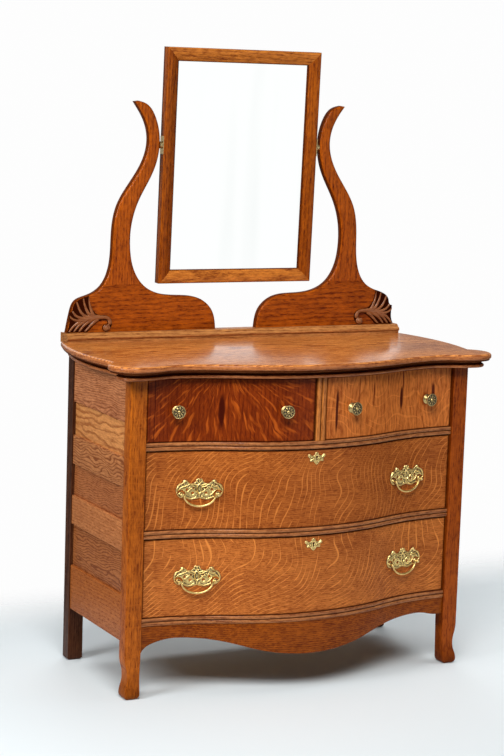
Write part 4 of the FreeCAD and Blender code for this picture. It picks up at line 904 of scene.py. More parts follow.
# Show wood: the framed sides, whose boards differ
SIDE_TOP_OAK = Oak("side top oak", Grain.DEEP, (0.5001, 0.1716, 0.0631), 0.8, pith=(0.15, -0.42, -0.66),
                   spacing=0.0045, taper=0.05, waviness=0.02, rings=0.5, curl=0.016)
SIDE_KNOT_OAK = Oak("side figured oak", Grain.DEEP, (0.4124, 0.1439, 0.0458), 0.75,
                    pith=(-0.06, -0.455, -0.395), spacing=0.0075, taper=0.06, waviness=0.03, rings=0.9,
                    curl=0.05)
SIDE_PLAIN_OAK = Oak("side plain oak", Grain.DEEP, (0.4669, 0.1589, 0.049), 0.6, pith=(0.3, -0.3, -0.2),
                     rings=0.25, pores=0.8)
SIDE_LOW_OAK = replace(SIDE_PLAIN_OAK, name="side low oak", tone=(0.3586, 0.0972, 0.0179),
                       pith=(0.1, -0.1, 0.1))
PANEL_GOLD_OAK = Oak("golden panel oak", Grain.DEEP, (0.6104, 0.2347, 0.0679), 0.6,
                     pith=(0.2, -0.455, -0.62), spacing=0.018, taper=0.06, waviness=0.03, rings=0.7,
                     curl=0.035)
PANEL_BROWN_OAK = Oak("brown panel oak", Grain.DEEP, (0.3655, 0.1115, 0.0333), 0.8,
                      pith=(0.1, -0.44, -0.42), spacing=0.005, taper=0.05, waviness=0.02, rings=0.55,
                      curl=0.02)
PANEL_WAVE_OAK = Oak("waved panel oak", Grain.DEEP, (0.3393, 0.1055, 0.0303), 0.7,
                     pith=(0.0, -0.455, -0.28), spacing=0.0065, taper=0.06, waviness=0.03, rings=0.8,
                     curl=0.03)

# Show wood: the runs along the front, and the top
RAIL_OAK = Oak("rail oak", tone=(0.36, 0.115, 0.033), pith=(0.0, 0.1, 0.5), spacing=0.008, rings=0.3,
               coat=0.25, coat_roughness=0.12, shade_and_dirt=0.85)
APRON_OAK = Oak("apron oak", tone=(0.2607, 0.0517, 0.0026), pith=(0.0, 0.12, 0.4), spacing=0.005,
                rings=0.4, waviness=0.02, pores=0.7)
TOP_OAK = Oak("top oak", tone=(0.5969, 0.1923, 0.038), pith=(0.2, -0.05, -0.72), spacing=0.010,
              taper=0.03, waviness=0.04, rings=0.6, pores=0.9, roughness=0.34, coat=0.75,
              coat_roughness=0.17)
EDGE_OAK = Oak("edge oak", tone=(0.40, 0.12, 0.034), contrast=0.9, pith=(0.0, 0.1, 0.6), spacing=0.008,
               rings=0.3, coat=0.3, coat_roughness=0.12, shade_and_dirt=0.9)
BASE_OAK = Oak("base rail oak", tone=(0.3817, 0.1379, 0.0361), pith=(0.0, 0.1, 0.6), spacing=0.008,
               rings=0.3)

# Show wood: the veneers of the drawers
# The mark on each wide front, at the lock, is painted shade: the dark inside of the keyhole behind the
# escutcheon.
MIDDLE_OAK = Oak("middle drawer oak", tone=(0.3902, 0.0978, 0.0159), contrast=0.7, pith=(0.0, 0.02, -1.3),
                 spacing=0.005, rings=0.2, pores=0.75, rays=0.9, ray_spacing=0.016, ray_bend=0.12,
                 ray_light=0.6, ray_arc=(0.52, 9.0, -2.5), patches=1.2, shade_and_dirt=0.7,
                 marks=(Mark((-0.006, 0.5855), (0.0035, 0.006), 1.8),))
LOWER_OAK = replace(MIDDLE_OAK, name="lower drawer oak", tone=(0.4608, 0.1236, 0.0217),
                    pith=(0.0, 0.02, -1.05), rays=0.85, ray_spacing=0.021, ray_bend=0.16,
                    ray_arc=(0.350, 0.0, -8.0), marks=(Mark((-0.006, 0.3695), (0.0035, 0.006), 1.8),))
FLAME_OAK = Oak("flame oak", Grain.UPRIGHT, (0.209, 0.0275, 0.002), 0.8, pith=(0.7, 0.0, 0.5),
                spacing=0.009, rings=0.3, ray_light=1.1, flame=(-0.245, 0.0, 0.835), shade_and_dirt=0.7,
                marks=(Mark((-0.244, 0.703), (0.008, 0.046)), Mark((-0.4065, 0.71), (0.0012, 0.2), 0.8)))
SWIRL_OAK = Oak("swirl oak", Grain.UPRIGHT, (0.5746, 0.1506, 0.0265), 0.65, pith=(0.7, 0.1, -0.35),
                spacing=0.012, waviness=0.05, rings=0.35, curl=0.045, rays=0.4, ray_spacing=0.03,
                ray_bend=0.3, ray_light=0.5, shade_and_dirt=0.7,
                marks=(Mark((0.047, 0.70), (0.0046, 0.062), 1.5), Mark((0.264, 0.715), (0.0056, 0.034), 1.5),
                       Mark((0.371, 0.722), (0.0065, 0.028), 1.2), Mark((0.163, 0.735), (0.0026, 0.04), 0.8),
                       Mark((0.268, 0.76), (0.0024, 0.03), 1.0), Mark((0.212, 0.765), (0.002, 0.02), 0.7),
                       Mark((0.345, 0.705), (0.012, 0.02), 0.5), Mark((0.115, 0.75), (0.0015, 0.035), 0.7)))

# Show wood: the stand and the mirror
STAND_OAK = Oak("stand oak", tone=(0.275, 0.048, 0.002), pith=(0.1, 0.05, -1.2), spacing=0.009, rings=0.25,
                contrast=1.2, waviness=0.02, coat_roughness=0.1, shade_and_dirt=0.7, specular=0.03)
ARM_OAK = Oak("arm oak", Grain.UPRIGHT, (0.285, 0.05, 0.002), pith=(0.3, 0.04, 0.5), spacing=0.008,
              rings=0.2, contrast=1.2, coat=0.1, coat_roughness=0.1, shade_and_dirt=0.7, specular=0.03)
FRAME_RAIL_OAK = Oak("frame rail oak", tone=(0.4292, 0.1187, 0.0156), pith=(0.1, 0.04, -1.1),
                     spacing=0.007, rings=0.25, contrast=1.1, shade_and_dirt=0.8)
# The stiles: upright grain, and a darker tone than the rails as painted shade, for the left stile's slope
# faces away from the lamps.
SHADED_FRAME_STILE_OAK = replace(FRAME_RAIL_OAK, name="painted shade frame stile oak", grain=Grain.UPRIGHT,
                          tone=(0.2461, 0.0478, 0.002), pith=(0.1, 0.04, 0.4))
CARVED_OAK = Oak("carved oak", tone=(0.25, 0.085, 0.028), contrast=0.6, pith=(0.1, 0.05, -1.0), rings=0.2,
                 pores=0.3, roughness=0.34, coat=0.4, shade_and_dirt=1.0)

# Plain wood and metal
LINING = Oak("drawer lining", Grain.DEEP, (0.38, 0.22, 0.11), 0.4, rings=0.3, pores=0.2, roughness=0.6,
             coat=0.0)
PLAIN = Oak("plain pine", tone=(0.34, 0.155, 0.062), contrast=0.5, rings=0.4, pores=0.15, roughness=0.65,
            coat=0.0)
PULL_BRASS = Metal("pull brass", (0.92, 0.68, 0.27), (0.66, 0.46, 0.15), roughness=0.32)
KNOB_BRASS = Metal("knob brass", (0.60, 0.44, 0.18), (0.40, 0.28, 0.11), roughness=0.36)
PIVOT_BRASS = Metal("pivot brass", (0.60, 0.46, 0.22), (0.42, 0.32, 0.16), roughness=0.38, hollows=0.0)
LOCK_IRON = Metal("lock iron", (0.30, 0.29, 0.28), (0.16, 0.15, 0.14), roughness=0.5, hollows=0.0)


def dress(piece: bpy.types.Object, *finishes: Oak | Metal | MirrorGlass) -> None:
    """Give a piece its finishes, in the order of its parts; each material is built once."""
    if piece.data.materials:
        piece.data.materials.clear()
    for finish in finishes:
        piece.data.materials.append(bpy.data.materials.get(finish.name) or finish.material())


def settle(shell: Shell, name: str, body: str, slot: str, node: str,
           *finishes: Oak | Metal, sharp: float = CRISP) -> bpy.types.Object:
    """Make a piece, finish it, and let it ride in place of its CAD node.

    Args:
        shell: the piece's surface.
        name: the piece's name.
        body: the body that it rides on.
        slot: the record's material slot; not used.
        node: CAD node that it stands for.
        finishes: its finishes.
        sharp: edges that turn by more degrees than this stay crisp.

    Returns:
        The piece.
    """
    piece = shell.mesh_object(name, sharp)
    dress(piece, *finishes)
    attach(piece, body)
    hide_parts(node)
    log.info("%s: %d faces on %s", name, len(shell.faces), body)
    return piece


def cut_bolt_way(piece: bpy.types.Object, drawer: str, bottom: float, top: float, slack: float,
                 sharp: float = CRISP) -> None:
    """Cut the way of a drawer's lock bolt into a piece, by taking a block away from its mesh.

    Args:
        piece: the piece to cut.
        drawer: the drawer's name.
        bottom: where the way begins.
        top: where it ends.
        slack: room on each side of the bolt.
        sharp: edges that turn by more degrees than this stay crisp.
    """
    low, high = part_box(drawer + "_lock_bolt")
    floor = section((low.x - slack, low.y - slack), (high.x + slack, high.y + slack), (0.0,) * 4)
    block = loft(np.stack([ring_at(2, level, floor) for level in (bottom, top)])).mesh_object("block")
    cut = piece.modifiers.new("way of the bolt", "BOOLEAN")
    cut.operation, cut.solver, cut.object = "DIFFERENCE", "EXACT", block
    graph = bpy.context.evaluated_depsgraph_get()
    mesh = bpy.data.meshes.new_from_object(piece.evaluated_get(graph))
    piece.modifiers.clear()
    old, piece.data = piece.data, mesh
    mesh.name = piece.name
    mesh.set_sharp_from_angle(angle=math.radians(sharp))
    bpy.data.meshes.remove(old)
    bpy.data.objects.remove(block)


# ------------------------------------------------------------------- shared wood shapes
def quarter(steps: int) -> Array:
    """Angles from 0 to a right angle."""
    return np.linspace(0, math.pi / 2, steps)


def section(low: Point, high: Point, radii: tuple[float, float, float, float]) -> Array:
    """Rectangle with rounded corners, counter-clockwise from its low corner.

    Args:
        low: low corner.
        high: high corner.
        radii: radius at the low-left, low-right, high-right and high-left corner.

    Returns:
        The loop.
    """
    corners = ((low[0], low[1]), (high[0], low[1]), (high[0], high[1]), (low[0], high[1]))
    inward = ((1, 1), (-1, 1), (-1, -1), (1, -1))
    runs = []
    for turn, ((x, y), way, radius) in enumerate(zip(corners, inward, radii)):
        start = math.pi * (1 + turn / 2)
        centre = (x + way[0] * radius, y + way[1] * radius)
        runs.append(arc_points(centre, radius, start, start + math.pi / 2, 5 if radius > 0 else 1))
    return np.vstack(runs)


def bowed(start: float, end: float, loop: Array, ease: float, back: float | None = None,
          lower: Rule | None = None) -> Shell:
    """Carry a section along the serpentine.

    A corner of the section at (ahead, height) follows the parallel of the serpentine
    that lies that far ahead.  At both ends the section draws in by a quarter circle.

    Args:
        start: where the piece begins.
        end: where it ends.
        loop: section as (ahead, height), counter-clockwise.
        ease: radius of the eased ends.
        back: depth of a straight back, for corners more than 15 mm behind the curve.
        lower: height to add to the lower corners at each reach.

    Returns:
        The shell.
    """
    step, straight = 0.006, -0.015
    turn = quarter(4)[:-1]
    eased, drawn = ease * (1 - np.cos(turn)), ease * (1 - np.sin(turn))
    middle = np.linspace(start + ease, end - ease, max(8, int((end - start) / step)))
    reach = np.concatenate([start + eased, middle, (end - eased)[::-1]])
    inset = np.concatenate([drawn, np.zeros(len(middle)), drawn[::-1]])
    rings = np.stack([pushed_in(loop, amount) for amount in inset])
    across = np.broadcast_to(reach[:, None], rings.shape[:2])
    depth = FRONT + FACE.depth(across, rings[..., 0])
    if back is not None:
        depth = np.where(loop[None, :, 0] < straight, FRONT + back - (loop[:, 0] - rings[..., 0]), depth)
    height = rings[..., 1].copy()
    if lower is not None:
        below = loop[:, 1] < loop[:, 1].mean()
        height[:, below] += lower(reach)[:, None]
    return loft(np.stack([across, depth, height], -1))


def s_line(where: Array, start: Point, end: Point) -> Array:
    """Height of an S-curve that is level at both ends: two equal arcs that meet half way.

    Args:
        where: places between the two ends.
        start: place and height of the first end.
        end: place and height of the last end.

    Returns:
        A height for each place.
    """
    run, rise = end[0] - start[0], end[1] - start[1]
    radius = (run ** 2 + rise ** 2) / (4 * abs(rise))
    sign = math.copysign(1, rise)
    first = start[1] + sign * (radius - np.sqrt(np.maximum(radius ** 2 - (where - start[0]) ** 2, 0)))
    second = end[1] - sign * (radius - np.sqrt(np.maximum(radius ** 2 - (end[0] - where) ** 2, 0)))
    return np.where(where < start[0] + run / 2, first, second)


def soften(node: str, width: float = 0.0009) -> bpy.types.Object:
    """Break the sharp edges of a CAD board: join its corners, then bevel them.

    Args:
        node: the CAD node, which keeps its shape.
        width: width of the bevel.

    Returns:
        The node's object.
    """
    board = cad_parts[node]
    weld = board.modifiers.new("joined corners", "WELD")
    weld.merge_threshold = 0.00002
    bevel = board.modifiers.new("broken edges", "BEVEL")
    bevel.width, bevel.segments, bevel.limit_method = width, 2, "ANGLE"
    bevel.angle_limit = math.radians(35)
    bevel.harden_normals = False
    return board


# ---------------------------------------------------------------------------- the case
SIDE_RAIL_FINISHES = (SIDE_LOW_OAK, SIDE_PLAIN_OAK, SIDE_KNOT_OAK, SIDE_TOP_OAK)
SIDE_PANEL_FINISHES = (PANEL_WAVE_OAK, PANEL_BROWN_OAK, PANEL_GOLD_OAK)


@dataclass
class Case:
    """Posts, framed sides, rails, apron, and the plain parts inside."""

    # Front posts: across from the middle, then heights of what shapes the foot.
    post_inner: float = 0.429
    post_outer: float = 0.472
    post_depth: float = 0.036
    post_top: float = 0.787
    post_edge: float = 0.003
    back_edge: float = 0.001
    foot_taper: float = 0.004
    taper_height: float = 0.13
    toe_forward: float = 0.006
    toe_height: float = 0.014
    toe_spread: float = 0.022
    sole_radius: float = 0.011
    darkening_height: float = 0.19
    # Outer face of the foot, as (across, height) where two are given.
    toe: float = 0.4715
    ankle: Point = (0.464, 0.054)
    swell: Point = (0.472, 0.106)
    # Rails: distances before the serpentine, and the ways of the lock bolts.
    rail_ahead: float = -0.003
    bead_depth: float = 0.0026
    bead_gap: float = 0.0014
    rail_back: float = 0.045
    bolt_throw: float = 0.008
    strike_slack: float = 0.0006
    past: float = 0.001
    locks: dict[str, str] = field(default_factory=lambda: {"drawer_rail_upper": "middle_drawer",
                                                           "drawer_rail_middle": "lower_drawer"})
    # Apron, and the levels of the side's boards.
    apron_top: float = 0.1775
    apron_ahead: float = -0.006
    apron_behind: float = -0.026
    apron_centre: float = 0.093
    apron_crest: Point = (0.345, 0.1442)
    apron_left_end: tuple[Point, ...] = ((0.345, 0.1442), (0.368, 0.1415), (0.393, 0.1355),
                                         (0.411, 0.1285), (0.421, 0.1205), (0.430, 0.108))
    apron_right_end: tuple[Point, ...] = ((0.345, 0.1442), (0.366, 0.1425), (0.388, 0.1375),
                                          (0.404, 0.1345), (0.418, 0.134), (0.430, 0.1345))
    board_corner: float = 0.0007
    board_ease: Point = (0.0004, 0.0006)
    run_ease: float = 0.0001
    rail_levels: tuple[Point, ...] = ((0.139, 0.253), (0.361, 0.435), (0.517, 0.591), (0.677, 0.787))
    panel_levels: tuple[Point, ...] = ((0.247, 0.367), (0.429, 0.523), (0.585, 0.683))

    def post_sides(self, levels: Array) -> tuple[Array, Array]:
        """Inner and outer face of a front post at each level, before the sole draws in.

        Args:
            levels: heights over the floor.

        Returns:
            Two sets of places across, one for each face.
        """
        lower = s_line(levels, (self.sole_radius, self.toe), (self.ankle[1], self.ankle[0]))
        upper = s_line(levels, (self.ankle[1], self.ankle[0]), (self.swell[1], self.swell[0]))
        outer = np.where(levels < self.ankle[1], lower, upper)
        outer = np.where(levels > self.swell[1], self.post_outer, outer)
        outer = np.where(levels < self.sole_radius, self.toe, outer)
        return self.post_inner + self.foot_taper * unit(1 - levels / self.taper_height), outer

    def post(self, side: int, word: str) -> None:
        """Front post: sections stacked from the sole up, over an ankle and a toe.

        The outer face follows two S-curves.  The toe also swells forward, the inner face
        tapers towards the floor, and the sole draws in by a quarter circle.

        Args:
            side: -1 on the left, 1 on the right.
            word: left or right, as in the node's name.
        """
        curved = np.linspace(self.toe_height, self.swell[1], 26)
        levels = np.concatenate([self.sole_radius * (1 - np.cos(quarter(9))), curved,
                                 [0.12, 0.3, self.post_top]])
        drop = unit(1 - levels / self.sole_radius)
        sole = self.sole_radius * (1 - np.sqrt(np.maximum(1 - drop ** 2, 0)))
        forward = self.toe_forward * hill(levels, self.toe_height, self.toe_spread)
        radii = (self.post_edge, self.post_edge, self.back_edge, self.back_edge)
        rings = []
        for level, inner, outer, inset, ahead in zip(levels, *self.post_sides(levels), sole, forward):
            low, high = (inner + inset, inset * 0.6 - ahead), (outer - inset, self.post_depth - inset * 0.6)
            loop = section(low, high, radii)
            rings.append(ring_at(2, level, loop * (side, 1) + (0, FRONT)))
        shell = loft(np.stack(rings))
        # Painted shade along the inner edge, beside the drawers; the post also darkens towards the floor.
        edge = 1 - (np.abs(shell.points[:, 0]) - self.post_inner) / self.post_edge
        shell.hollow = unit(np.maximum(edge, 0.85 - shell.points[:, 2] / self.darkening_height))
        settle(shell, "front_post_%s_shaped" % word, "case", "oak_case", "front_post_" + word,
               POST_OAK if side < 0 else SHADED_RIGHT_POST_OAK, sharp=50)

    def board(self, levels: Point, low: Vector, high: Vector) -> Shell:
        """One board of a side between two levels, with its edges broken.

        Args:
            levels: the lowest and highest place of the board.
            low: near corner of the side's box.
            high: far corner of the side's box.

        Returns:
            The board.
        """
        loop = section((low.x, levels[0]), (high.x, levels[1]), (self.board_corner,) * 4)
        inset, along = self.board_ease
        edge = pushed_in(loop, inset)
        return loft(np.stack([ring_at(1, low.y, edge), ring_at(1, low.y + along, loop),
                              ring_at(1, high.y - along, loop), ring_at(1, high.y, edge)]))

    def side_boards(self, side: int, word: str) -> None:
        """The rails and panels of a framed side, each from its own board."""
        for part, levels, finishes, slot in (
                ("side_rails_", self.rail_levels, SIDE_RAIL_FINISHES, "oak_case"),
                ("side_panels_", self.panel_levels, SIDE_PANEL_FINISHES, "oak_side_panel")):
            low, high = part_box(part + word)
            whole = joined(self.board(span, low, high).painted(number) for number, span in enumerate(levels))
            whole.hollow = None
            settle(whole, part + word + "_boards", "case", slot, part + word, *finishes)

    def beads(self, low: float, high: float) -> Array:
        """Two half-round beads side by side, as (place, ahead) from one side to the other.

        Args:
            low: the side where the first bead starts.
            high: the side where the second bead ends.

        Returns:
            The places, in order.
        """
        half = (high - low - self.bead_gap) / 4
        turn = np.linspace(0, math.pi, 9)
        runs = [np.column_stack([middle - half * np.cos(turn),
                                 self.rail_ahead - self.bead_depth * (1 - np.sin(turn))])
                for middle in (low + half, high - half)]
        return np.vstack(runs)

    def dip(self, ahead: Array) -> Array:
        """How deep a place of the beads lies: 0 on a crest, 1 in the groove."""
        return unit((self.rail_ahead - ahead) / self.bead_depth)

    def rail(self, name: str) -> None:
        """Rail between the drawers, with two beads along its front.

        Args:
            name: the rail's CAD node.
        """
        low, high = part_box(name)
        front = self.beads(low.z, high.z)[:, ::-1]
        loop = np.vstack([[(-self.rail_back, low.z)], front, [(-self.rail_back, high.z)]])
        shell = bowed(-self.post_inner, self.post_inner, loop, self.run_ease, back=self.rail_back)
        # Painted shade in the groove between the beads and along the rail's upper and lower edges.
        shell.hollow = np.tile(self.dip(loop[:, 0]), len(shell.points) // len(loop))
        rail = settle(shell, name + "_beaded", "case", "oak_case", name, RAIL_OAK, sharp=50)
        if name in self.locks:
            drawer = self.locks[name]
            _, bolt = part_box(drawer + "_lock_bolt")
            cut_bolt_way(rail, drawer, low.z - self.past, bolt.z + self.bolt_throw + self.past,
                         self.strike_slack, 50)

    def divider(self) -> None:
        """Beaded upright between the small drawers."""
        low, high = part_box("drawer_divider")
        front = self.beads(low.x, high.x)
        line = np.column_stack([front[:, 0], FRONT + FACE.depth(front[:, 0], front[:, 1])])
        loop = np.vstack([line, [(high.x, high.y), (low.x, high.y)]])
        shell = loft(np.stack([ring_at(2, level, loop) for level in (low.z, high.z)]))
        # Painted shade in the groove between the beads and at the edges beside the drawers.
        shell.hollow = np.tile(np.concatenate([self.dip(front[:, 1]), [1.0, 1.0]]), 2)
        settle(shell, "drawer_divider_beaded", "case", "oak_case", "drawer_divider", DIVIDER_OAK, sharp=50)

    def apron_edge(self, reach: Array) -> Array:
        """Height of the apron's lower edge.

        It hangs in the middle and rises in an S-curve to a crest; from there a spline
        falls to a small cusp at the left post, and runs nearly level to the right one.

        Args:
            reach: places from the middle, less than 0 on the left.

        Returns:
            A height for each place.
        """
        away = np.abs(reach)
        height = s_line(away, (0.0, self.apron_centre), self.apron_crest)
        for side, knots in ((-1, self.apron_left_end), (1, self.apron_right_end)):
            line = natural_spline(knots, 60)
            tail = np.interp(away, line[:, 0], line[:, 1])
            height = np.where((reach * side > 0) & (away > self.apron_crest[0]), tail, height)
        return height

    def apron(self) -> None:
        """Shaped board below the drawers."""
        loop = section((self.apron_behind, 0.0), (self.apron_ahead, self.apron_top),
                       (0.0005, 0.002, 0.0005, 0.0005))
        shell = bowed(-self.post_inner, self.post_inner, loop, self.run_ease, lower=self.apron_edge)
        settle(shell, "apron_shaped", "case", "oak_case", "apron", APRON_OAK)

    def build(self) -> None:
        """Make every show surface of the case and finish the plain boards."""
        for side, word in SIDES:
            self.post(side, word)
            dress(soften("rear_post_" + word), SHADED_REAR_POST_OAK)
            self.side_boards(side, word)
            dress(soften("drawer_runners_" + word), PLAIN)
        for name in ("drawer_rail_lower", "drawer_rail_middle", "drawer_rail_upper"):
            self.rail(name)
        self.divider()
        self.apron()
        dress(soften("centre_runner"), PLAIN)
        dress(soften("back_boards"), PLAIN)


# ----------------------------------------------------------------------------- the top
@dataclass
class Top:
    """Shaped top board over a moulding with a cove and a bead."""

    # Plan: places are (across from the middle, behind the front posts).
    overhang: float = 0.031
    lobe: Point = (0.470, -0.058)
    lobe_radius: float = 0.059
    lobe_turn: float = 57.0
    valley_radius: float = 0.123
    valley_lead: float = 0.097
    swell: Point = (0.519, 0.170)
    rear: Point = (0.484, 0.426)
    # Edges: the heights of each part, then (inset, height) of each curve in it.
    board: Point = (0.805, 0.823)
    nose: Point = (0.0075, 0.0066)
    under_nose: Point = (0.0028, 0.003)
    fillet: Point = (0.004, 0.0042)
    moulding: Point = (0.787, 0.805)
    bead: Point = (0.018, 0.0042)
    cove: Point = (0.0125, 0.0082)
    cove_foot: Point = (0.0245, 0.0088)
    top_inset: float = 0.011
    opening: Place = (0.429, 0.036, 0.365)
    shade_height: float = 0.006

    def loop(self, inset: float) -> Array:
        """Outline of the top, drawn in by a distance.

        From the middle: the bow and the hollow of the drawers moved forward, a valley,
        a shoulder and a round lobe at the corner, and a side that swells and tapers.
        Each is a circle that keeps its centre, so the outlines of all insets are
        parallel.

        Args:
            inset: how far the outline lies inside the edge of the board.

        Returns:
            Closed loop, counter-clockwise.
        """
        radius, span = FACE.radius, FACE.span
        meet = span / 2 * (1 + (self.overhang - inset) / radius)
        front, hollow = (0.0, radius - FACE.bulge), (span, -radius)
        tight = radius - self.overhang
        turn = math.asin(self.valley_lead / tight)
        valley = (hollow[0] - (tight - self.valley_radius) * math.sin(turn),
                  hollow[1] + (tight - self.valley_radius) * math.cos(turn))
        drop, across = self.lobe[1] - valley[1], self.lobe[0] - valley[0]
        shoulder_radius = ((across ** 2 + drop ** 2 - self.valley_radius ** 2)
                           / (2 * (self.valley_radius - drop)))
        shoulder = (self.lobe[0], self.lobe[1] + shoulder_radius)
        lobe = (self.lobe[0], self.lobe[1] + self.lobe_radius)
        at = math.radians(self.lobe_turn)
        corner = (lobe[0] + self.lobe_radius * math.cos(at), lobe[1] + self.lobe_radius * math.sin(at))
        side, side_radius = self.circle(corner, self.swell, self.rear)
        corner = self.crossing(lobe, self.lobe_radius - inset, side, side_radius - inset, corner)
        back = side[0] + math.sqrt((side_radius - inset) ** 2 - (self.rear[1] - side[1]) ** 2)
        heading = math.atan2(shoulder[1] - valley[1], shoulder[0] - valley[0])
        half = np.vstack([
            arc_points(front, radius + self.overhang - inset, -math.pi / 2,
                       -math.acos(meet / (radius + self.overhang - inset)), 30),
            arc_points(hollow, tight + inset, math.pi - math.acos((span - meet) / (tight + inset)),
                       math.pi / 2 + turn, 16)[1:],
            arc_points(valley, self.valley_radius + inset, math.pi / 2 + turn, heading, 12)[1:],
            arc_points(shoulder, shoulder_radius - inset, heading - math.pi, -math.pi / 2, 10)[1:],
            arc_points(lobe, self.lobe_radius - inset, -math.pi / 2,
                       math.atan2(corner[1] - lobe[1], corner[0] - lobe[0]), 26)[1:],
            arc_points(side, side_radius - inset, math.atan2(corner[1] - side[1], corner[0] - side[0]),
                       math.atan2(self.rear[1] - side[1], back - side[0]), 36)[1:]])
        half = np.vstack([half, [(0.0, self.rear[1])]])
        return mirrored_loop(half)

    @staticmethod
    def circle(a: Point, b: Point, c: Point) -> tuple[Point, float]:
        """Centre and radius of the circle through three points.

        Args:
            a: first point.
            b: second point.
            c: third point.

        Returns:
            The centre and the radius.
        """
        rows = np.array([np.subtract(b, a), np.subtract(c, a)]) * 2
        right = [b[0] ** 2 - a[0] ** 2 + b[1] ** 2 - a[1] ** 2, c[0] ** 2 - a[0] ** 2 + c[1] ** 2 - a[1] ** 2]
        x, y = np.linalg.solve(rows, right)
        return (float(x), float(y)), math.hypot(a[0] - x, a[1] - y)

    @staticmethod
    def crossing(first: Point, r1: float, second: Point, r2: float, near: Point) -> Point:
        """The crossing of two circles that lies nearer to a point.

        Args:
            first: centre of the first circle.
            r1: its radius.
            second: centre of the second circle.
            r2: its radius.
            near: the point that picks one of the two crossings.

        Returns:
            The crossing.
        """
        dx, dy = second[0] - first[0], second[1] - first[1]
        gap = math.hypot(dx, dy)
        along = (gap ** 2 + r1 ** 2 - r2 ** 2) / (2 * gap)
        across = math.sqrt(r1 ** 2 - along ** 2)
        foot = (first[0] + along * dx / gap, first[1] + along * dy / gap)
        spots = [(foot[0] - way * across * dy / gap, foot[1] + way * across * dx / gap) for way in (-1, 1)]
        return min(spots, key=lambda spot: math.dist(spot, near))

    def rings(self, edge: Sequence[Point]) -> Array:
        """The outline at each (inset, height) of an edge."""
        return np.stack([ring_at(2, level, self.loop(inset) + (0, FRONT)) for inset, level in edge])

    def nosed_board(self) -> None:
        """The board: a fillet below, then a nose whose curve ends on the top face."""
        low, high = self.board
        (set_back, fillet_top), (under, rise), (nose, fall) = self.fillet, self.under_nose, self.nose
        turn = quarter(7)
        chamfer, step = 0.0007, 0.0004
        start = low + fillet_top + step
        edge = [(set_back + chamfer, low), (set_back, low + chamfer), (set_back, low + fillet_top),
                (under, start)]
        edge += [(under * (1 - math.sin(a)), start + rise * (1 - math.cos(a))) for a in turn[1:]]
        edge += [(nose * (1 - math.cos(a)), high - fall * (1 - math.sin(a))) for a in turn]
        rings = self.rings(edge)
        board, around = loft(rings), rings.shape[1]
        polished = 4    # the bands next to the top face have its finish
        board.part = [1] * (around * (len(rings) - 1 - polished)) + [0] * (around * polished) + [1, 0]
        # Painted shade on the lower part of the edge, under the nose.
        board.hollow = unit(1.2 - (board.points[:, 2] - low) / self.shade_height)
        settle(board, "top_board_nosed", "case", "oak_top", "top_board", TOP_OAK, EDGE_OAK, sharp=40)

    def moulding_run(self) -> None:
        """The moulding: a half-round bead below a cove, hollow on the inside."""
        low, high = self.moulding
        (out, radius), (reach, height), (foot, start) = self.bead, self.cove, self.cove_foot
        bead = [(out + radius * (1 - math.sin(a)), low + radius * (1 - math.cos(a)))
                for a in np.linspace(0, math.pi, 11)]
        cove = [(foot - reach * (1 - math.cos(a)), low + start + height * math.sin(a)) for a in quarter(7)]
        rings = self.rings([*bead, (foot, low + start - 0.0003), *cove,
                            (self.top_inset, high - 0.0008), (self.top_inset, high)])
        inner = rings[[0, -1]]
        half_width, near, far = self.opening
        inner[..., 0] = np.clip(inner[..., 0], -half_width, half_width)
        inner[..., 1] = np.clip(inner[..., 1], FRONT + near, FRONT + far)
        shell = loft(np.concatenate([inner[:1], rings, inner[1:]]), closed=True)
        # Painted shade in the cove, on the flanks of the bead, and on the inner faces.
        dips = [(inset - out) / radius for inset, _ in bead] + [1.0]
        dips += [(inset - foot + reach) / reach for inset, _ in cove]
        shell.hollow = np.repeat(unit([1.0, *dips, 0.3, 0.3, 1.0]), rings.shape[1])
        settle(shell, "top_moulding_run", "case", "oak_top", "top_under_moulding", EDGE_OAK, sharp=40)

    def build(self) -> None:
        """Make the board with its nosed edge, and the moulding below it."""
        self.nosed_board()
        self.moulding_run()


# ------------------------------------------------------------------------- brass castings
@dataclass(frozen=True)
class Ridge:
    """A raised scroll on a casting: its path, half width and height, from start to end."""

    path: tuple[Point, ...]
    width: Point
    height: Point

    def rise(self, places: Array) -> Array:
        """Half-round ridge: height times the root of 1 - (distance / width) squared.

        Args:
            places: across and up on the casting.

        Returns:
            A height for each place.
        """
        line = natural_spline(np.array(self.path), 40)
        gap, along = path_distance(places, line)
        width = self.width[0] + (self.width[1] - self.width[0]) * along
        height = self.height[0] + (self.height[1] - self.height[0]) * along
        return height * np.sqrt(np.maximum(1 - (gap / width) ** 2, 0))


# Edges of the castings as shares of their half width and half height, from top to bottom.
PLATE_EDGE = ((0, 1), (0.118, 0.943), (0.16, 0.717), (0.252, 0.585), (0.454, 0.642), (0.538, 0.849),
              (0.672, 0.868), (0.739, 0.623), (0.874, 0.509), (0.966, 0.226), (1, -0.075),
              (0.958, -0.415), (0.84, -0.736), (0.672, -0.811), (0.538, -0.868), (0.37, -1),
              (0.185, -0.943), (0, -0.83))
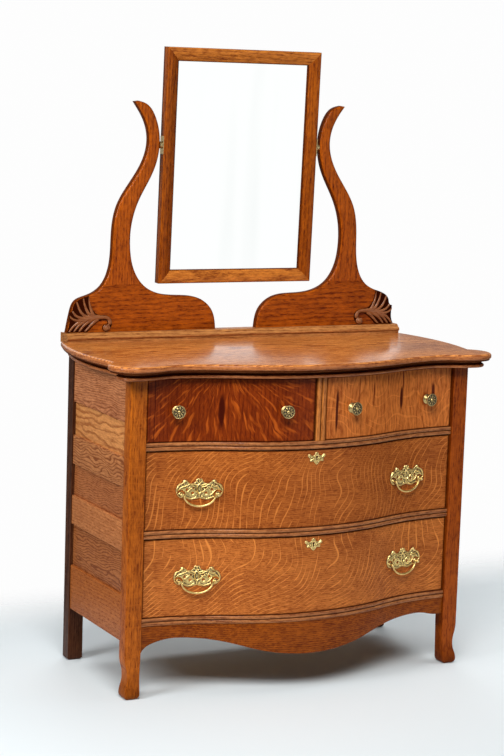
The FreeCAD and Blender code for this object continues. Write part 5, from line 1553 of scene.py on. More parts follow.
# The right half of a plate's scrolls and holes, in millimetres from its middle.
PLATE_RIDGES = (
    Ridge(((5.5, 10), (12, 11.5), (20, 14), (27, 18), (33, 21)), (2.3, 1.4), (2.6, 1.8)),
    Ridge(((6.5, 5), (13, 7), (20, 10.5), (26, 11.5), (30, 8), (28, 4), (24, 5)), (1.7, 1.0),
          (2.2, 1.5)),
    Ridge(((6, -8), (12, -3), (17, 2), (24, -1), (27, -6)), (1.8, 1.1), (2.1, 1.4)),
    Ridge(((36, 20), (41, 16), (47, 14), (52, 9), (56, 3), (57, -5), (54, -13), (48, -18), (42, -19.5)),
          (2.6, 1.8), (2.8, 2.0)),
    Ridge(((32, 10), (37, 7), (44, 5), (51, 1)), (1.9, 1.2), (2.3, 1.5)),
    Ridge(((42, -20), (34, -19), (27, -21), (20, -23), (12, -21.5), (7, -18)), (1.9, 1.7), (2.1, 1.8)),
    Ridge(((28, -14), (33, -10), (38, -4)), (1.6, 1.2), (1.8, 1.3)),
    Ridge(((0, 14), (0, 19), (0, 25)), (2.0, 2.6), (2.6, 2.2)),
    Ridge(((3, 15), (5.5, 19), (6.5, 22)), (1.5, 1.2), (2.2, 1.6)),
    Ridge(((37, 16), (36.5, 19), (36, 22)), (1.3, 2.0), (2.2, 1.9)),
    Ridge(((45, 15), (47, 18), (46.5, 20)), (1.4, 1.5), (2.2, 1.8)),
    Ridge(((53, 9), (56, 11), (57, 13)), (1.3, 1.5), (2.0, 1.7)),
    Ridge(((0, -14), (0, -18), (0, -21)), (2.4, 1.4), (2.2, 1.6)),
)
PLATE_HOLES = ((16.5, -9, 3.6, 3.2), (15, 3.5, 2.8, 1.5), (31, -1, 2.6, 3.6), (0, -24.5, 1.5, 1.3),
               (41, 11, 2.4, 1.3))
POST_PROFILE = ((0, 0.3), (4.6, 0.3), (4.6, 3.4), (5.6, 4.0), (6.0, 5.0), (5.4, 5.9), (4.1, 6.4),
                (4.2, 8.0), (4.3, 12.0), (3.9, 13.2), (2.6, 13.9), (0, 14.0))
# A knob as (radius, height) in millimetres: the foot and its neck, then the head.
KNOB_FOOT = ((0, 0.15), (12.5, 0.15), (12.5, 1.6), (11.6, 2.4), (8.0, 4.6), (6.0, 7.5), (5.6, 11.0),
             (6.4, 13.6), (10.0, 16.0), (14.2, 17.6), (16.0, 18.8))
KNOB_HEAD = ((16.5, 20.0), (16.1, 21.2), (15.2, 21.9), (14.4, 21.9), (13.6, 21.4), (13.0, 20.6), (12.4, 20.5),
             (11.4, 20.9), (10.2, 21.3), (9.0, 21.5), (7.8, 21.4), (6.6, 21.0), (5.6, 20.5), (5.0, 20.7),
             (4.6, 21.8), (3.8, 23.0), (2.6, 23.7), (1.2, 24.0), (0, 24.0))
ESCUTCHEON_EDGE = ((0, 0.938), (0.17, 0.8), (0.25, 0.5), (0.40, 0.34), (0.6, 0.38), (0.792, 0.62),
                   (1, 0.5), (0.93, 0.12), (0.77, -0.08), (0.80, -0.38), (0.64, -0.55), (0.42, -0.5),
                   (0.25, -0.76), (0, -1.062))
ESCUTCHEON_RIDGES = (
    Ridge(((8, 0), (13, 1), (17, 4), (21, 7)), (1.7, 1.2), (1.3, 1.0)),
    Ridge(((8, -3), (14, -4), (17, -8), (13, -8)), (1.6, 1.0), (1.3, 1.0)),
    Ridge(((0, 9), (0, 13)), (1.5, 1.2), (1.3, 1.0)),
    Ridge(((0, -9), (0, -13)), (1.4, 1.0), (1.2, 0.8)),
)
KEYHOLE = ((-1.3, 0.2), (-1.5, -6.2), (1.5, -6.2), (1.3, 0.2), (2.6, 1.2), (3.0, 2.6), (2.2, 4.2), (0, 4.9),
           (-2.2, 4.2), (-3.0, 2.6), (-2.6, 1.2))
PROUD = 0.0003         # castings stand this far off the wood


def casting_outline(edge: Sequence[Point], size: Point, count: int) -> Array:
    """Closed loop of a casting, from the shares of its right edge."""
    half = natural_spline(np.array(edge) * np.array(size) / 2, count)
    half[0, 0] = half[-1, 0] = 0.0
    return mirrored_loop(half[::-1])


def oval(centre: Point, radii: Sequence[float], count: int = 24) -> Array:
    """Closed oval loop, from measures in millimetres."""
    turn = np.linspace(0, 2 * math.pi, count, endpoint=False)
    places = np.column_stack([np.cos(turn), np.sin(turn)])
    return (np.array(centre) + places * radii) * MM


@dataclass
class Pull:
    """Pierced back plate with two bossed posts, and a bail that hangs between them."""

    reach: float
    height: float
    plate: Point = (0.119, 0.053)
    pivot_drop: float = 0.012
    half_span: float = 0.046
    bail_drop: float = 0.0284
    rod: float = 0.0025
    bail_half: float = 0.0396
    axis_out: float = 0.0095
    eye_radius: float = 0.0016
    pin: float = 0.004
    post_dip: float = 0.0068

    def plate_height(self, places: Array, depth: Array) -> Array:
        """Height of the casting: a pillowed ground, a bead along the rim, and the scrolls.

        Args:
            places: across and up on the plate.
            depth: how far each place lies inside the edge.

        Returns:
            A height for each place.
        """
        here, inner = np.column_stack([np.abs(places[:, 0]), places[:, 1]]) / MM, depth / MM
        across, up = here.T
        pillow = 0.9 * np.sqrt(unit(inner / 2.0)) - 0.35 * unit((inner - 2.2) / 2.0)
        scrolls = np.max([ridge.rise(here) for ridge in PLATE_RIDGES], axis=0)
        bowl = np.hypot(across / 5.6, (up - 1.0) / 11.5)
        middle = 3.1 * hill(bowl, 1.0, 0.24) + 0.7 * unit(1 - bowl)
        boss = 1.9 * hill(np.hypot(across - 46, up + 12), 0.0, 5.4, 6)
        veins = 0.16 * np.sin(across * 1.9 + 3 * np.sin(up * 0.5)) * unit(inner - 1.5)
        level = 0.6 + pillow + np.maximum.reduce([scrolls, middle, boss]) + veins
        return level * MM * unit(0.35 + inner / 0.9)

    def bail_path(self) -> Array:
        """Middle line of the bail: half an ellipse that hangs from short ends in the posts."""
        turn = np.linspace(-math.pi / 2, 0, 34)
        half = np.column_stack([self.bail_half * np.cos(turn), self.bail_drop * np.sin(turn)])
        bend = arc_points((self.bail_half + self.eye_radius, 0.0), self.eye_radius, math.pi, math.pi / 2, 5)
        half = np.vstack([half, bend[1:], [(self.half_span + self.pin, self.eye_radius)]])
        return np.vstack([(half[1:] * (-1, 1))[::-1], half])

    def bail(self) -> Shell:
        """The bail: a rod that thins towards its ends, with a collar on each side of its middle."""
        line = self.bail_path()
        away = np.abs(line[:, 0])
        size = self.rod * (1.0 - 0.24 * unit(away / self.bail_half) ** 6
                           + 0.12 * hill(away, 0.0, 0.006) + 0.1 * hill(away, 0.011, 0.0012))
        bail = tube(ring_at(2, self.axis_out, line - (0, self.pivot_drop)), size, 18)
        bail.hollow = np.full(len(bail.points), 0.25)
        return bail

    def pierced_plate(self) -> Shell:
        """The plate, with its holes and a crescent round each post."""
        outline = casting_outline(PLATE_EDGE, self.plate, 90)
        holes = [oval((way * x, y), radii) for x, y, *radii in PLATE_HOLES for way in (-1, 1)]
        around, pivot = (math.radians(25), math.radians(235)), (self.half_span, -self.pivot_drop)
        crescent = np.vstack([arc_points(pivot, 0.0104, *around, 22),
                              arc_points(pivot, 0.0066, *around[::-1], 16)])
        plate = relief(outline, 0.00062, self.plate_height, [*holes, crescent, crescent * (-1, 1)])
        return plate.moved(lambda points: points + (0, 0, PROUD))

    def post(self, way: int) -> Shell:
        """One of the two posts that hold the bail."""
        post = turned(np.array(POST_PROFILE) * MM, 28)
        post.hollow = np.clip(1.2 - np.abs(post.points[:, 2] - self.post_dip) / 0.002, 0.25, 0.8)
        return post.moved(lambda points: points + (way * self.half_span, -self.pivot_drop, 0))

    def build(self) -> tuple[Shell, Shell]:
        """Make the pull.

        Returns:
            The plate with its posts, and the bail, both in place on the drawer.
        """
        plate = joined([self.pierced_plate(), self.post(-1), self.post(1)])
        return (plate.moved(FACE.place(self.reach, self.height)),
                self.bail().moved(FACE.place(self.reach, self.height, bent=False)))


@dataclass
class Knob:
    """Cast knob: a roped rim round a rosette with a raised button."""

    reach: float
    height: float
    petals: int = 9
    twists: int = 26
    face_height: float = 0.0195

    def ripple(self, radius: Array, angle: Array) -> Array:
        """Petals as half waves round the button, and a slanted rope along the rim.

        Args:
            radius: distance of each point from the knob's axis.
            angle: its angle round the axis.

        Returns:
            How far each point stands out.
        """
        mm = radius / MM
        petal = np.abs(np.cos(angle * self.petals / 2)) ** 0.6
        rope = hill(mm, 14.6, 1.5, 4) * np.cos(angle * self.twists + mm * 1.2)
        rise = 1.5 * (petal - 0.6) * hill(mm, 8.2, 3.0, 4) + 0.45 * rope
        on_head = np.arange(len(radius))[:, None] >= len(KNOB_FOOT)
        return np.where(on_head, rise * MM, 0.0)

    def shade_and_dirt_mask(self, points: Array) -> Array:
        """How deep each point lies: between petals, round the button, and between the rope's turns.

        Args:
            points: the knob's points.

        Returns:
            A depth from 0 to 1 for each point.
        """
        mm, angle = np.hypot(points[:, 0], points[:, 1]) / MM, np.arctan2(points[:, 1], points[:, 0])
        gap = unit(1.6 - 1.6 * np.abs(np.cos(angle * self.petals / 2))) * hill(mm, 8.6, 3.4, 4)
        grooves = hill(mm, 12.8, 0.9) + hill(mm, 5.3, 0.7)
        twist = hill(mm, 14.8, 1.4, 4) * (0.5 - 0.5 * np.cos(angle * self.twists + mm * 1.2)) * 0.7
        deep = unit(0.2 + np.maximum.reduce([gap, grooves, twist]))
        return np.where(points[:, 2] > self.face_height, deep, 0.45)

    def build(self) -> Shell:
        """Make the knob in place."""
        shell = turned(np.array(KNOB_FOOT + KNOB_HEAD) * MM, 108, self.ripple)
        shell.hollow = self.shade_and_dirt_mask(shell.points)
        return shell.moved(FACE.place(self.reach, self.height, bent=False))


@dataclass
class Escutcheon:
    """Small shield with horned wings round a keyhole."""

    reach: float
    height: float
    size: Point = (0.048, 0.032)

    def level(self, places: Array, depth: Array) -> Array:
        """Height of the casting: a shield, a raised rim and a scroll on each wing.

        Args:
            places: across and up on the casting.
            depth: how far each place lies inside the edge.

        Returns:
            A height for each place.
        """
        here, inner = np.column_stack([np.abs(places[:, 0]), places[:, 1]]) / MM, depth / MM
        scrolls = np.max([ridge.rise(here) for ridge in ESCUTCHEON_RIDGES], axis=0)
        shield = unit(1 - (here[:, 0] / 6.8) ** 4 - (np.abs(here[:, 1] + 0.5) / 9.5) ** 4)
        ground = 0.5 + 0.7 * np.sqrt(unit(inner / 1.4))
        return (ground + np.maximum(scrolls, shield)) * MM * unit(0.4 + inner / 0.8)

    def build(self) -> Shell:
        """Make the escutcheon in place."""
        dots = [oval((way * x, y), (0.9, 0.9), 12) for x, y in ((11, -2), (17.5, 0.5)) for way in (-1, 1)]
        outline = casting_outline(ESCUTCHEON_EDGE, self.size, 70)
        shell = relief(outline, 0.00042, self.level, [np.array(KEYHOLE) * MM, *dots])
        return shell.moved(lambda points: points + (0, 0, PROUD)).moved(FACE.place(self.reach, self.height))


# ------------------------------------------------------------------------- the drawers
@dataclass
class Drawer:
    """A drawer: its veneered front, its brass, and the lined box behind."""

    name: str
    face: Oak
    slot: str
    knobs: tuple[float, ...] = ()
    pulls: tuple[float, ...] = ()
    lock: float = -0.006
    back: float = -0.030
    rim: float = 0.005
    ease: float = 0.0012
    bolt_slack: float = 0.0005

    def front(self) -> None:
        """Front board that follows the serpentine, with eased edges."""
        low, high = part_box(self.name + "_front")
        loop = section((self.back, low.z), (FACE_AHEAD, high.z), (0.0004, 0.0014, 0.0014, 0.0004))
        rim = [(FACE_AHEAD, low.z + self.rim), (FACE_AHEAD, high.z - self.rim)]
        face_starts = 10    # after two rounded corners of five points
        shell = bowed(low.x, high.x, np.insert(loop, face_starts, rim, axis=0), self.ease)
        # Painted shade: a dark band along the front's edges, for the shadowed gaps round the drawer.
        across, up = shell.points[:, 0], shell.points[:, 2]
        inside = np.minimum.reduce([across - low.x, high.x - across, up - low.z, high.z - up])
        shell.hollow = unit(1 - inside / self.rim)
        front = settle(shell, self.name + "_front_veneered", self.name, self.slot, self.name + "_front",
                       self.face)
        if self.pulls:
            case_low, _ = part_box(self.name + "_lock_case")
            cut_bolt_way(front, self.name, case_low.z, high.z + 0.001, self.bolt_slack)

    def middle(self, part: str) -> float:
        """Middle height of one of the drawer's CAD nodes."""
        return sum(corner.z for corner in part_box(self.name + part)) / 2

    def knob_pair(self) -> None:
        """The knobs of a small drawer."""
        knobs = joined(Knob(reach, self.middle("_knobs")).build() for reach in self.knobs)
        settle(knobs, self.name + "_rosette_knobs", self.name, "knob_brass", self.name + "_knobs", KNOB_BRASS)

    def pull_pair(self) -> None:
        """The pulls, the escutcheon and the lock of a wide drawer."""
        plates = []
        for reach, (_, word) in zip(self.pulls, SIDES):
            bail_name = "%s_bail_%s" % (self.name, word)
            plate, bail = Pull(reach, self.middle("_pull_plates")).build()
            plates.append(plate)
            settle(bail, bail_name + "_cast", bail_name, "pull_brass", bail_name, PULL_BRASS)
        settle(joined(plates), self.name + "_pierced_plates", self.name, "pull_brass",
               self.name + "_pull_plates", PULL_BRASS, sharp=60)
        shield = Escutcheon(self.lock, self.middle("_escutcheon") + 0.001).build()
        settle(shield, self.name + "_shield", self.name, "pull_brass", self.name + "_escutcheon",
               PULL_BRASS, sharp=60)
        dress(soften(self.name + "_lock_case", 0.0004), LOCK_IRON)
        dress(soften(self.name + "_lock_bolt", 0.0004), PIVOT_BRASS)

    def build(self) -> None:
        """Make the front and the brass, and finish the box."""
        self.front()
        for part in ("_sides", "_back", "_bottom"):
            dress(soften(self.name + part), LINING)
        if self.knobs:
            self.knob_pair()
        if self.pulls:
            self.pull_pair()


# ------------------------------------------------------------------- stand and carving
INNER_EDGE = ((-0.7053, 0), (-0.6646, 0.0782), (-0.5122, 0.1361), (-0.2927, 0.1522), (-0.0488, 0.1616),
              (0.1301, 0.1956), (0.252, 0.2645), (0.3049, 0.3656), (0.2967, 0.4626), (0.2175, 0.5723),
              (0.0589, 0.7015), (0, 0.8146), (0.0447, 0.9235), (0.1585, 0.9881), (0.248, 1))
OUTER_EDGE = ((1, 0), (0.9593, 0.085), (0.9106, 0.1344), (0.7642, 0.1616), (0.622, 0.199),
              (0.5407, 0.2645), (0.5102, 0.3656), (0.5041, 0.4422), (0.4553, 0.5459), (0.3049, 0.6522),
              (0.1768, 0.7432), (0.1301, 0.8333), (0.1768, 0.9167), (0.2561, 0.9719), (0.2988, 0.9966))
LEAF_EDGES = (
    ((0.011, 0.011), (-0.053, 0.191), (-0.059, 0.362), (-0.037, 0.548)),
    ((-0.037, 0.548), (-0.117, 0.574), (-0.165, 0.723), (-0.245, 0.84), (-0.404, 0.931), (-0.617, 1)),
    ((-0.617, 1), (-0.644, 0.809), (-0.734, 0.617), (-0.883, 0.484), (-1.074, 0.457),
     (-1.223, 0.404), (-1.303, 0.277), (-1.277, 0.128), (-1.181, 0.032), (-1.074, 0.032),
     (-1.016, 0.117), (-1.064, 0.207)),
    ((-1.064, 0.207), (-1.149, 0.213), (-1.16, 0.293), (-1.043, 0.335), (-0.904, 0.298)),
    ((-0.904, 0.298), (-0.787, 0.202), (-0.67, 0.096), (-0.585, 0.011)),
)
# Ribs of the leaf in millimetres: reach from the foot of the shoulder, and height.
LEAF_RIBS = (
    Ridge(((-116, 24), (-112, 35), (-96, 39), (-78, 38), (-64, 34)), (6.0, 6.8), (4.0, 3.4)),
    Ridge(((-82, 38), (-72, 42), (-65, 54), (-59, 76), (-58, 92)), (5.7, 2.2), (3.6, 2.0)),
    Ridge(((-76, 37), (-60, 45), (-50, 60), (-44, 76), (-42, 86)), (5.5, 2.2), (3.6, 2.0)),
    Ridge(((-68, 36), (-48, 42), (-34, 55), (-27, 70), (-23, 80)), (5.2, 2.2), (3.4, 2.0)),
    Ridge(((-60, 35), (-38, 37), (-22, 44), (-12, 56), (-8, 62)), (5.2, 2.2), (3.4, 2.0)),
    Ridge(((-52, 33), (-32, 31), (-16, 34), (-4, 44)), (4.9, 2.2), (3.2, 2.0)),
    Ridge(((-80, 32), (-66, 21), (-55, 10), (-48, 3)), (4.9, 2.4), (3.2, 2.0)),
    Ridge(((-64, 31), (-48, 21), (-38, 11), (-32, 3)), (4.9, 2.4), (3.2, 2.0)),
    Ridge(((-48, 30), (-33, 20), (-24, 11), (-18, 3)), (4.7, 2.4), (3.2, 2.0)),
    Ridge(((-34, 28), (-19, 19), (-10, 10), (-5, 3)), (4.4, 2.4), (3.0, 2.0)),
)


def part_of_line(line: Array, level: float, above: bool) -> Array:
    """Part of a rising line above or below a level, with a point on the level itself.

    Args:
        line: corners of a line that rises.
        level: the height of the cut.
        above: whether the upper part is kept.

    Returns:
        The part that is kept.
    """
    at = int(np.argmax(line[:, 1] > level))
    share = (level - line[at - 1, 1]) / (line[at, 1] - line[at - 1, 1])
    cut = line[at - 1] + share * (line[at] - line[at - 1])
    return np.vstack([cut, line[at:]]) if above else np.vstack([line[:at], cut])


@dataclass
class Stand:
    """Base rail, shoulders and scrolled arms, with a carved leaf on each shoulder."""

    waist: float = 0.232
    reach: float = 0.246
    height: float = 0.588
    base: float = 0.8465
    seam: float = 0.9675
    front: float = 0.4005
    thickness: float = 0.022
    front_round: float = 0.0075
    back_round: float = 0.004
    leaf_height: float = 0.094
    thinnest: float = 0.42
    edge_shade_depth: float = 0.006

    def outline(self, upper: bool) -> tuple[Array, Array]:
        """Outline of an arm or a shoulder, and the most that each of its points may move in.

        Args:
            upper: whether the piece is an arm.

        Returns:
            The closed outline, and a length for each point.
        """
        edges = []
        for edge in (OUTER_EDGE, INNER_EDGE):
            knots = np.array(edge) * (self.reach, self.height) + (self.waist, self.base)
            edges.append(part_of_line(natural_spline(knots, 170), self.seam, upper))
        outer, inner = edges
        room = np.concatenate([path_distance(outer, inner)[0], path_distance(inner, outer)[0][::-1]])
        return np.vstack([outer, inner[::-1]]), room * self.thinnest

    def piece(self, side: int, word: str, upper: bool) -> None:
        """One arm or one shoulder, cut at the seam from the edges of the whole standard.

        Args:
            side: -1 on the left, 1 on the right.
            word: left or right, as in the node's name.
            upper: whether the piece is an arm.
        """
        loop, room = self.outline(upper)
        low, high = (self.seam, math.inf) if upper else (self.base, self.seam)
        near, far = FRONT + self.front, FRONT + self.front + self.thickness
        steps = []
        for radius, face, way in ((self.front_round, near, 1), (self.back_round, far, -1)):
            steps += [(np.minimum(radius, room) * (1 - math.sin(a)), face + way * radius * (1 - math.cos(a)))
                      for a in quarter(7)[::way]]
        fixed = np.isclose(loop[:, 1], self.seam) | np.isclose(loop[:, 1], self.base)
        rings = []
        for inset, depth in steps:
            ring = pushed_in(loop, inset)
            ring[:, 1] = np.where(fixed, loop[:, 1], np.clip(ring[:, 1], low, high))
            rings.append(ring_at(1, depth, ring * (side, 1)))
        label = ("mirror_arm_" if upper else "shoulder_") + word
        shell = loft(np.stack(rings))
        # Painted shade on the rounded edges, darker as they turn back from the front face.
        shell.hollow = unit((shell.points[:, 1] - near) / self.edge_shade_depth)
        settle(shell, label + "_rounded", "case", "oak_case", label,
               ARM_OAK if upper else STAND_OAK, sharp=50)

    def leaf_level(self, places: Array, depth: Array) -> Array:
        """Height of the carving: a ground that falls to the edge, and ribs that fan out of the stem.

        Args:
            places: across and up on the right shoulder.
            depth: how far each place lies inside the edge.

        Returns:
            A height for each place.
        """
        here, inner = (places - (self.waist + self.reach, self.base)) / MM, depth / MM
        ribs = np.max([ridge.rise(here) for ridge in LEAF_RIBS], axis=0)
        ball = np.hypot(here[:, 0] + 107, here[:, 1] - 11)
        volute = 5.2 * np.sqrt(np.maximum(1 - (ball / 10.5) ** 2, 0)) - 1.4 * hill(ball, 6.4, 1.1)
        edge = np.sqrt(unit(inner / 3.2))
        veins = 0.12 * np.sin(here[:, 0] * 2.3 + here[:, 1] * 1.7)
        level = np.minimum(1.2 + 1.4 * edge + np.maximum(ribs, volute) + veins * edge, 7.6)
        return level * MM * unit(0.3 + inner / 1.4)

    def leaves(self) -> None:
        """The pair of leaves."""
        edges = [natural_spline(np.array(run) * self.leaf_height + (self.waist + self.reach, self.base),
                                max(8, len(run) * 9)) for run in LEAF_EDGES]
        outline = np.vstack([edge[:-1] for edge in edges])
        shell = relief(outline, 0.0009, self.leaf_level)
        # Painted shade in the low ground between the ribs; the tops of the ribs stay light.
        shell.hollow = unit(1.25 - (shell.points[:, 2] / MM - 1.2) / 3.6)

        def placed(side: int) -> Shell:
            """The leaf on one shoulder."""
            return shell.moved(lambda points: np.column_stack(
                [points[:, 0] * side, FRONT + self.front - points[:, 2], points[:, 1]]))

        settle(joined(placed(side) for side in (-1, 1)), "leaf_carvings_cut", "case", "carved_oak",
               "leaf_carvings", CARVED_OAK, sharp=75)

    def rail(self) -> None:
        """Base rail: a half-round bead along its front, and a bevel above it."""
        low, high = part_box("mirror_base_rail")
        bead, slope, edge = 0.004, 0.008, 0.001
        middle = high.z - slope - bead
        front = arc_points((low.y + bead, middle), bead, math.pi / 2, 1.5 * math.pi, 10)
        loop = np.vstack([[(high.y, low.z), (high.y, high.z - edge), (high.y - edge, high.z),
                           (low.y + bead + slope, high.z)], front, [(low.y + bead, low.z)]])[::-1]
        ends = ((0.0, edge), (0.0005, 0.0003), (0.0015, 0.0))
        spots = [(low.x + along, inset) for along, inset in ends] + [(0.0, 0.0)]
        spots += [(high.x - along, inset) for along, inset in reversed(ends)]
        shell = loft(np.stack([ring_at(0, x, pushed_in(loop, inset)) for x, inset in spots]))
        settle(shell, "mirror_base_rail_run", "case", "oak_top", "mirror_base_rail", BASE_OAK, sharp=40)

    def build(self) -> None:
        """Make the stand."""
        self.rail()
        for side, word in SIDES:
            self.piece(side, word, False)
            self.piece(side, word, True)
        self.leaves()
        dress(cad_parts["mirror_pivot_pins"], PIVOT_BRASS)


# -------------------------------------------------------------------------- the mirror
@dataclass
class Mirror:
    """Mitred frame with a rounded face, its glass and its back board."""

    half_width: float = 0.222
    above: float = 0.249
    below: float = -0.357
    member: float = 0.035
    half_thickness: float = 0.0135
    sight: float = 0.004
    rebate: float = 0.008
    lean: float = 2.0
    pivot: Point = (0.411500, 1.3235)
    shoulder: float = 0.005
    lip: float = 0.0008

    def profile(self) -> Array:
        """Section of a member: a rounded outer shoulder that falls in a slow curve to the glass."""
        half, inner, edge = self.half_thickness, self.member - self.rebate, self.shoulder
        shoulder = arc_points((edge, edge - half), edge, math.pi, 1.5 * math.pi, 8)
        start, end = edge + 0.003, self.member - 0.001
        run = np.linspace(start, end, 14)
        fall = (half - self.sight) * (1 - np.cos((run - start) / (end - start) * math.pi / 2)) ** 1.05
        return np.vstack([[(0.0, half - self.lip)], shoulder, np.column_stack([run, fall - half]),
                          [(self.member, 0.001 - self.sight), (self.member, 0.0), (inner, 0.0), (inner, half),
                           (self.lip, half)]])

    def lean_rule(self, points: Array) -> Array:
        """Turn points about the pivots by the mirror's lean and put them in place.

        Args:
            points: across, ahead of and above the pivots' axis.

        Returns:
            The same points in the frame.
        """
        angle = math.radians(self.lean)
        y = points[:, 1] * math.cos(angle) - points[:, 2] * math.sin(angle)
        z = points[:, 1] * math.sin(angle) + points[:, 2] * math.cos(angle)
        return np.column_stack([points[:, 0], y + FRONT + self.pivot[0], z + self.pivot[1]])

    def frame_members(self) -> None:
        """Two stiles and two rails whose sections meet on the mitres."""
        profile = self.profile()
        # Painted shade at the sight edge next to the glass and towards the back of each member.
        sight = (profile[:, 0] - self.member + 0.004) / 0.003
        dips = unit(np.maximum(sight, 0.35 + profile[:, 1] / 0.03))
        corners = np.array([(-self.half_width, self.below), (self.half_width, self.below),
                            (self.half_width, self.above), (-self.half_width, self.above)])
        inward = np.array([(1, 1), (-1, 1), (-1, -1), (1, -1)])
        ends = [ring_at(1, profile[:, 1], corner + way * profile[:, :1])
                for corner, way in zip(corners, inward)]
        share = np.linspace(0, 1, 9)[:, None, None]
        members = []
        for first in range(4):
            rings = ends[first] * (1 - share) + ends[(first + 1) % 4] * share
            member = loft(rings).painted(first % 2)
            member.hollow = np.tile(dips, len(rings))
            members.append(member)
        settle(joined(members).moved(self.lean_rule), "mirror_frame_mitred", "mirror", "oak_mirror_frame",
               "mirror_frame", FRAME_RAIL_OAK, SHADED_FRAME_STILE_OAK, sharp=40)

    def build(self) -> None:
        """Make the frame and finish what it holds."""
        self.frame_members()
        dress(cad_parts["mirror_glass"], MirrorGlass())
        dress(soften("mirror_back_board"), PLAIN)
        dress(soften("mirror_pivot_plates", 0.0003), PIVOT_BRASS)


# -------------------------------------------------------------------------- the studio
@dataclass(frozen=True)
class Lamp:
    """An area lamp: place, aim, size, power and colour."""

    name: str
    place: Place
    aim: Place
    size: Point
    power: float
    colour: Colour = (1.0, 1.0, 1.0)
    glossy: bool = True
    spread: float = 180.0

    def build(self) -> None:
        """Hang the lamp."""
        light = bpy.data.lights.new(self.name, "AREA")
        light.shape, light.energy, light.color = "RECTANGLE", self.power, self.colour
        light.size, light.size_y = self.size
        light.spread = math.radians(self.spread)
        lamp = bpy.data.objects.new(self.name, light)
        lamp.location = self.place
        lamp.rotation_euler = (Vector(self.aim) - Vector(self.place)).to_track_quat("-Z", "Y").to_euler()
        lamp.visible_glossy = self.glossy
        bpy.context.scene.collection.objects.link(lamp)


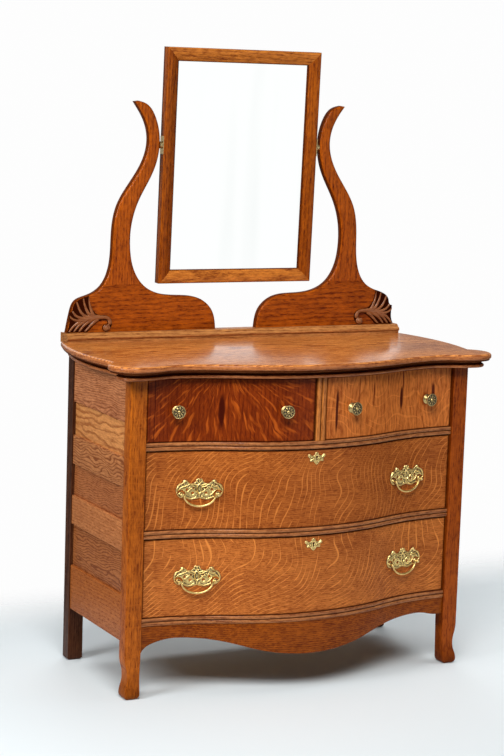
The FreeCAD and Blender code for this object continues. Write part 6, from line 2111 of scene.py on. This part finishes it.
@dataclass
class Studio:
    """White room, soft lamps, and the camera."""

    eye: Place = (-2.4221, -4.5971, 1.5181)
    yaw: float = 27.24
    pitch: float = -8.35
    roll: float = -1.95
    lens: float = 98.43
    shift: Point = (-0.00701, -0.00423)
    cards: tuple[tuple[Place, Place], ...] = (((0.9, -5.2, -0.4), (4.4, -3.4, 2.4)),
                                              ((-0.75, 1.3, 0.85), (1.15, 1.3, 2.2)))
    floor_radius: float = 2.6
    floor_fade: Point = (1.3, 2.3)
    back_fade: Point = (0.45, 0.95)
    ambient: float = 0.07
    sheen: float = 0.22
    lamps: tuple[Lamp, ...] = (
        Lamp("key", (-1.2, -2.2, 3.0), (0.0, 0.0, 0.5), (1.8, 1.4), 102, (1.0, 1.0, 0.99)),
        Lamp("fill left", (-2.7, -0.7, 2.1), (0.0, 0.0, 0.5), (1.0, 1.2), 54, (0.95, 0.98, 1.0)),
        Lamp("back", (0.6, 1.6, 2.6), (0.6, 0.9, 0.0), (1.6, 0.8), 10, (0.97, 0.99, 1.0), False, 100.0),
        Lamp("floor right", (1.7, -0.3, 2.4), (1.5, -0.2, 0.0), (1.6, 1.6), 11, (0.97, 0.99, 1.0), False,
             100.0),
    )

    def camera(self) -> None:
        """Camera at the eye, turned by yaw, pitch and roll."""
        yaw, pitch, roll = (math.radians(angle) for angle in (self.yaw, self.pitch, self.roll))
        ahead = Vector((math.sin(yaw) * math.cos(pitch), math.cos(yaw) * math.cos(pitch), math.sin(pitch)))
        level = Vector((math.cos(yaw), -math.sin(yaw), 0.0))
        down = ahead.cross(level)
        right = math.cos(roll) * level + math.sin(roll) * down
        below = -math.sin(roll) * level + math.cos(roll) * down
        data = bpy.data.cameras.new("camera")
        data.lens, data.sensor_width = self.lens, 36.0
        data.shift_x, data.shift_y = self.shift
        data.clip_start, data.clip_end = 0.05, 50.0
        eye = bpy.data.objects.new("camera", data)
        turned_to = Matrix((right, -below, -ahead)).transposed().to_4x4()
        eye.matrix_world = Matrix.Translation(self.eye) @ turned_to
        bpy.context.scene.collection.objects.link(eye)
        bpy.context.scene.camera = eye

    @staticmethod
    def prop(name: str, spots: Sequence[Sequence[float]], finish: bpy.types.Material) -> bpy.types.Object:
        """A one-sided sheet of the studio, which isn't part of the object.

        Args:
            name: the sheet's name.
            spots: its corners, in order.
            finish: its material.

        Returns:
            The sheet.
        """
        mesh = bpy.data.meshes.new(name)
        mesh.from_pydata(spots, [], [tuple(range(len(spots)))])
        mesh.materials.append(finish)
        sheet = bpy.data.objects.new(name, mesh)
        bpy.context.scene.collection.objects.link(sheet)
        sheet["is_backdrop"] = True
        return sheet

    def floor(self) -> None:
        """White disc that fades out, so that its rim can't be seen."""
        turn = np.linspace(0, 2 * math.pi, 96, endpoint=False)
        rim = ring_at(2, 0.0, self.floor_radius * np.column_stack([np.cos(turn), np.sin(turn)]))
        made, shader, finish = fresh_material("white floor")
        place = shader.place()
        away = shader.vector("LENGTH", place)
        shader.feed(finish, {
            "Base Color": (0.77, 0.82, 0.84, 1), "Roughness": 0.6, "Specular IOR Level": 0.2,
            "Alpha": shader.times(shader.between(away, *self.floor_fade[::-1]),
                                  shader.between(shader.parts(place)[1], *self.back_fade[::-1]))})
        self.prop("floor", rim.tolist(), made)

    def world(self) -> None:
        """White for the camera and for mirrors; a softer level lights the rest."""
        world = bpy.data.worlds.new("room")
        bpy.context.scene.world = world
        world.use_nodes = True
        shader = Shader(world.node_tree)
        rays = shader.add("ShaderNodeLightPath").outputs
        seen = shader.math("MAXIMUM", rays["Is Camera Ray"], rays["Is Transmission Ray"])
        shined = shader.math("MULTIPLY_ADD", rays["Is Glossy Ray"], self.sheen - self.ambient, self.ambient)
        shader.feed(world.node_tree.nodes["Background"], {
            "Color": (0.985, 0.985, 0.985, 1), "Strength": shader.math("MAXIMUM", seen, shined)})

    def card(self, low: Place, high: Place) -> None:
        """White card that only mirrors and polish see.

        Args:
            low: the card's lowest corner.
            high: the corner across from it.
        """
        made, shader, finish = fresh_material("card white")
        nodes = made.node_tree.nodes
        nodes.remove(finish)
        glow = shader.add("ShaderNodeEmission", {"Color": (1.0, 1.0, 1.0, 1), "Strength": 1.02})
        shader.feed(nodes["Material Output"], {"Surface": glow.outputs[0]})
        board = self.prop("card", [low, (high[0], high[1], low[2]), high, (low[0], low[1], high[2])], made)
        board.visible_camera = board.visible_diffuse = board.visible_shadow = False
        board.visible_transmission = board.visible_volume_scatter = False

    def build(self) -> None:
        """Set up the room."""
        self.camera()
        self.floor()
        self.world()
        for span in self.cards:
            self.card(*span)
        for lamp in self.lamps:
            lamp.build()
        bpy.context.scene.view_settings.view_transform = "Standard"


def corners(box: tuple[Vector, Vector]) -> list[list[float]]:
    """A box as plain lists."""
    return [list(corner) for corner in box]


def main() -> None:
    """Build the dresser and its room."""
    logging.basicConfig(level=logging.INFO, format="%(name)s: %(message)s")
    built = corners(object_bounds())
    oak_group()
    flame_group()
    mark_group()
    Case().build()
    Top().build()
    drawers = (Drawer("small_drawer_left", FLAME_OAK, "flame_oak", knobs=(-0.351, -0.092)),
               Drawer("small_drawer_right", SWIRL_OAK, "flame_oak", knobs=(0.092, 0.351)),
               Drawer("middle_drawer", MIDDLE_OAK, "quartered_oak", pulls=(-0.291, 0.291)),
               Drawer("lower_drawer", LOWER_OAK, "quartered_oak", pulls=(-0.291, 0.291)))
    for drawer in drawers:
        drawer.build()
    Stand().build()
    Mirror().build()
    Studio().build()
    {"cad": built, "visual": corners(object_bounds())}


if __name__ == "__main__":
    main()
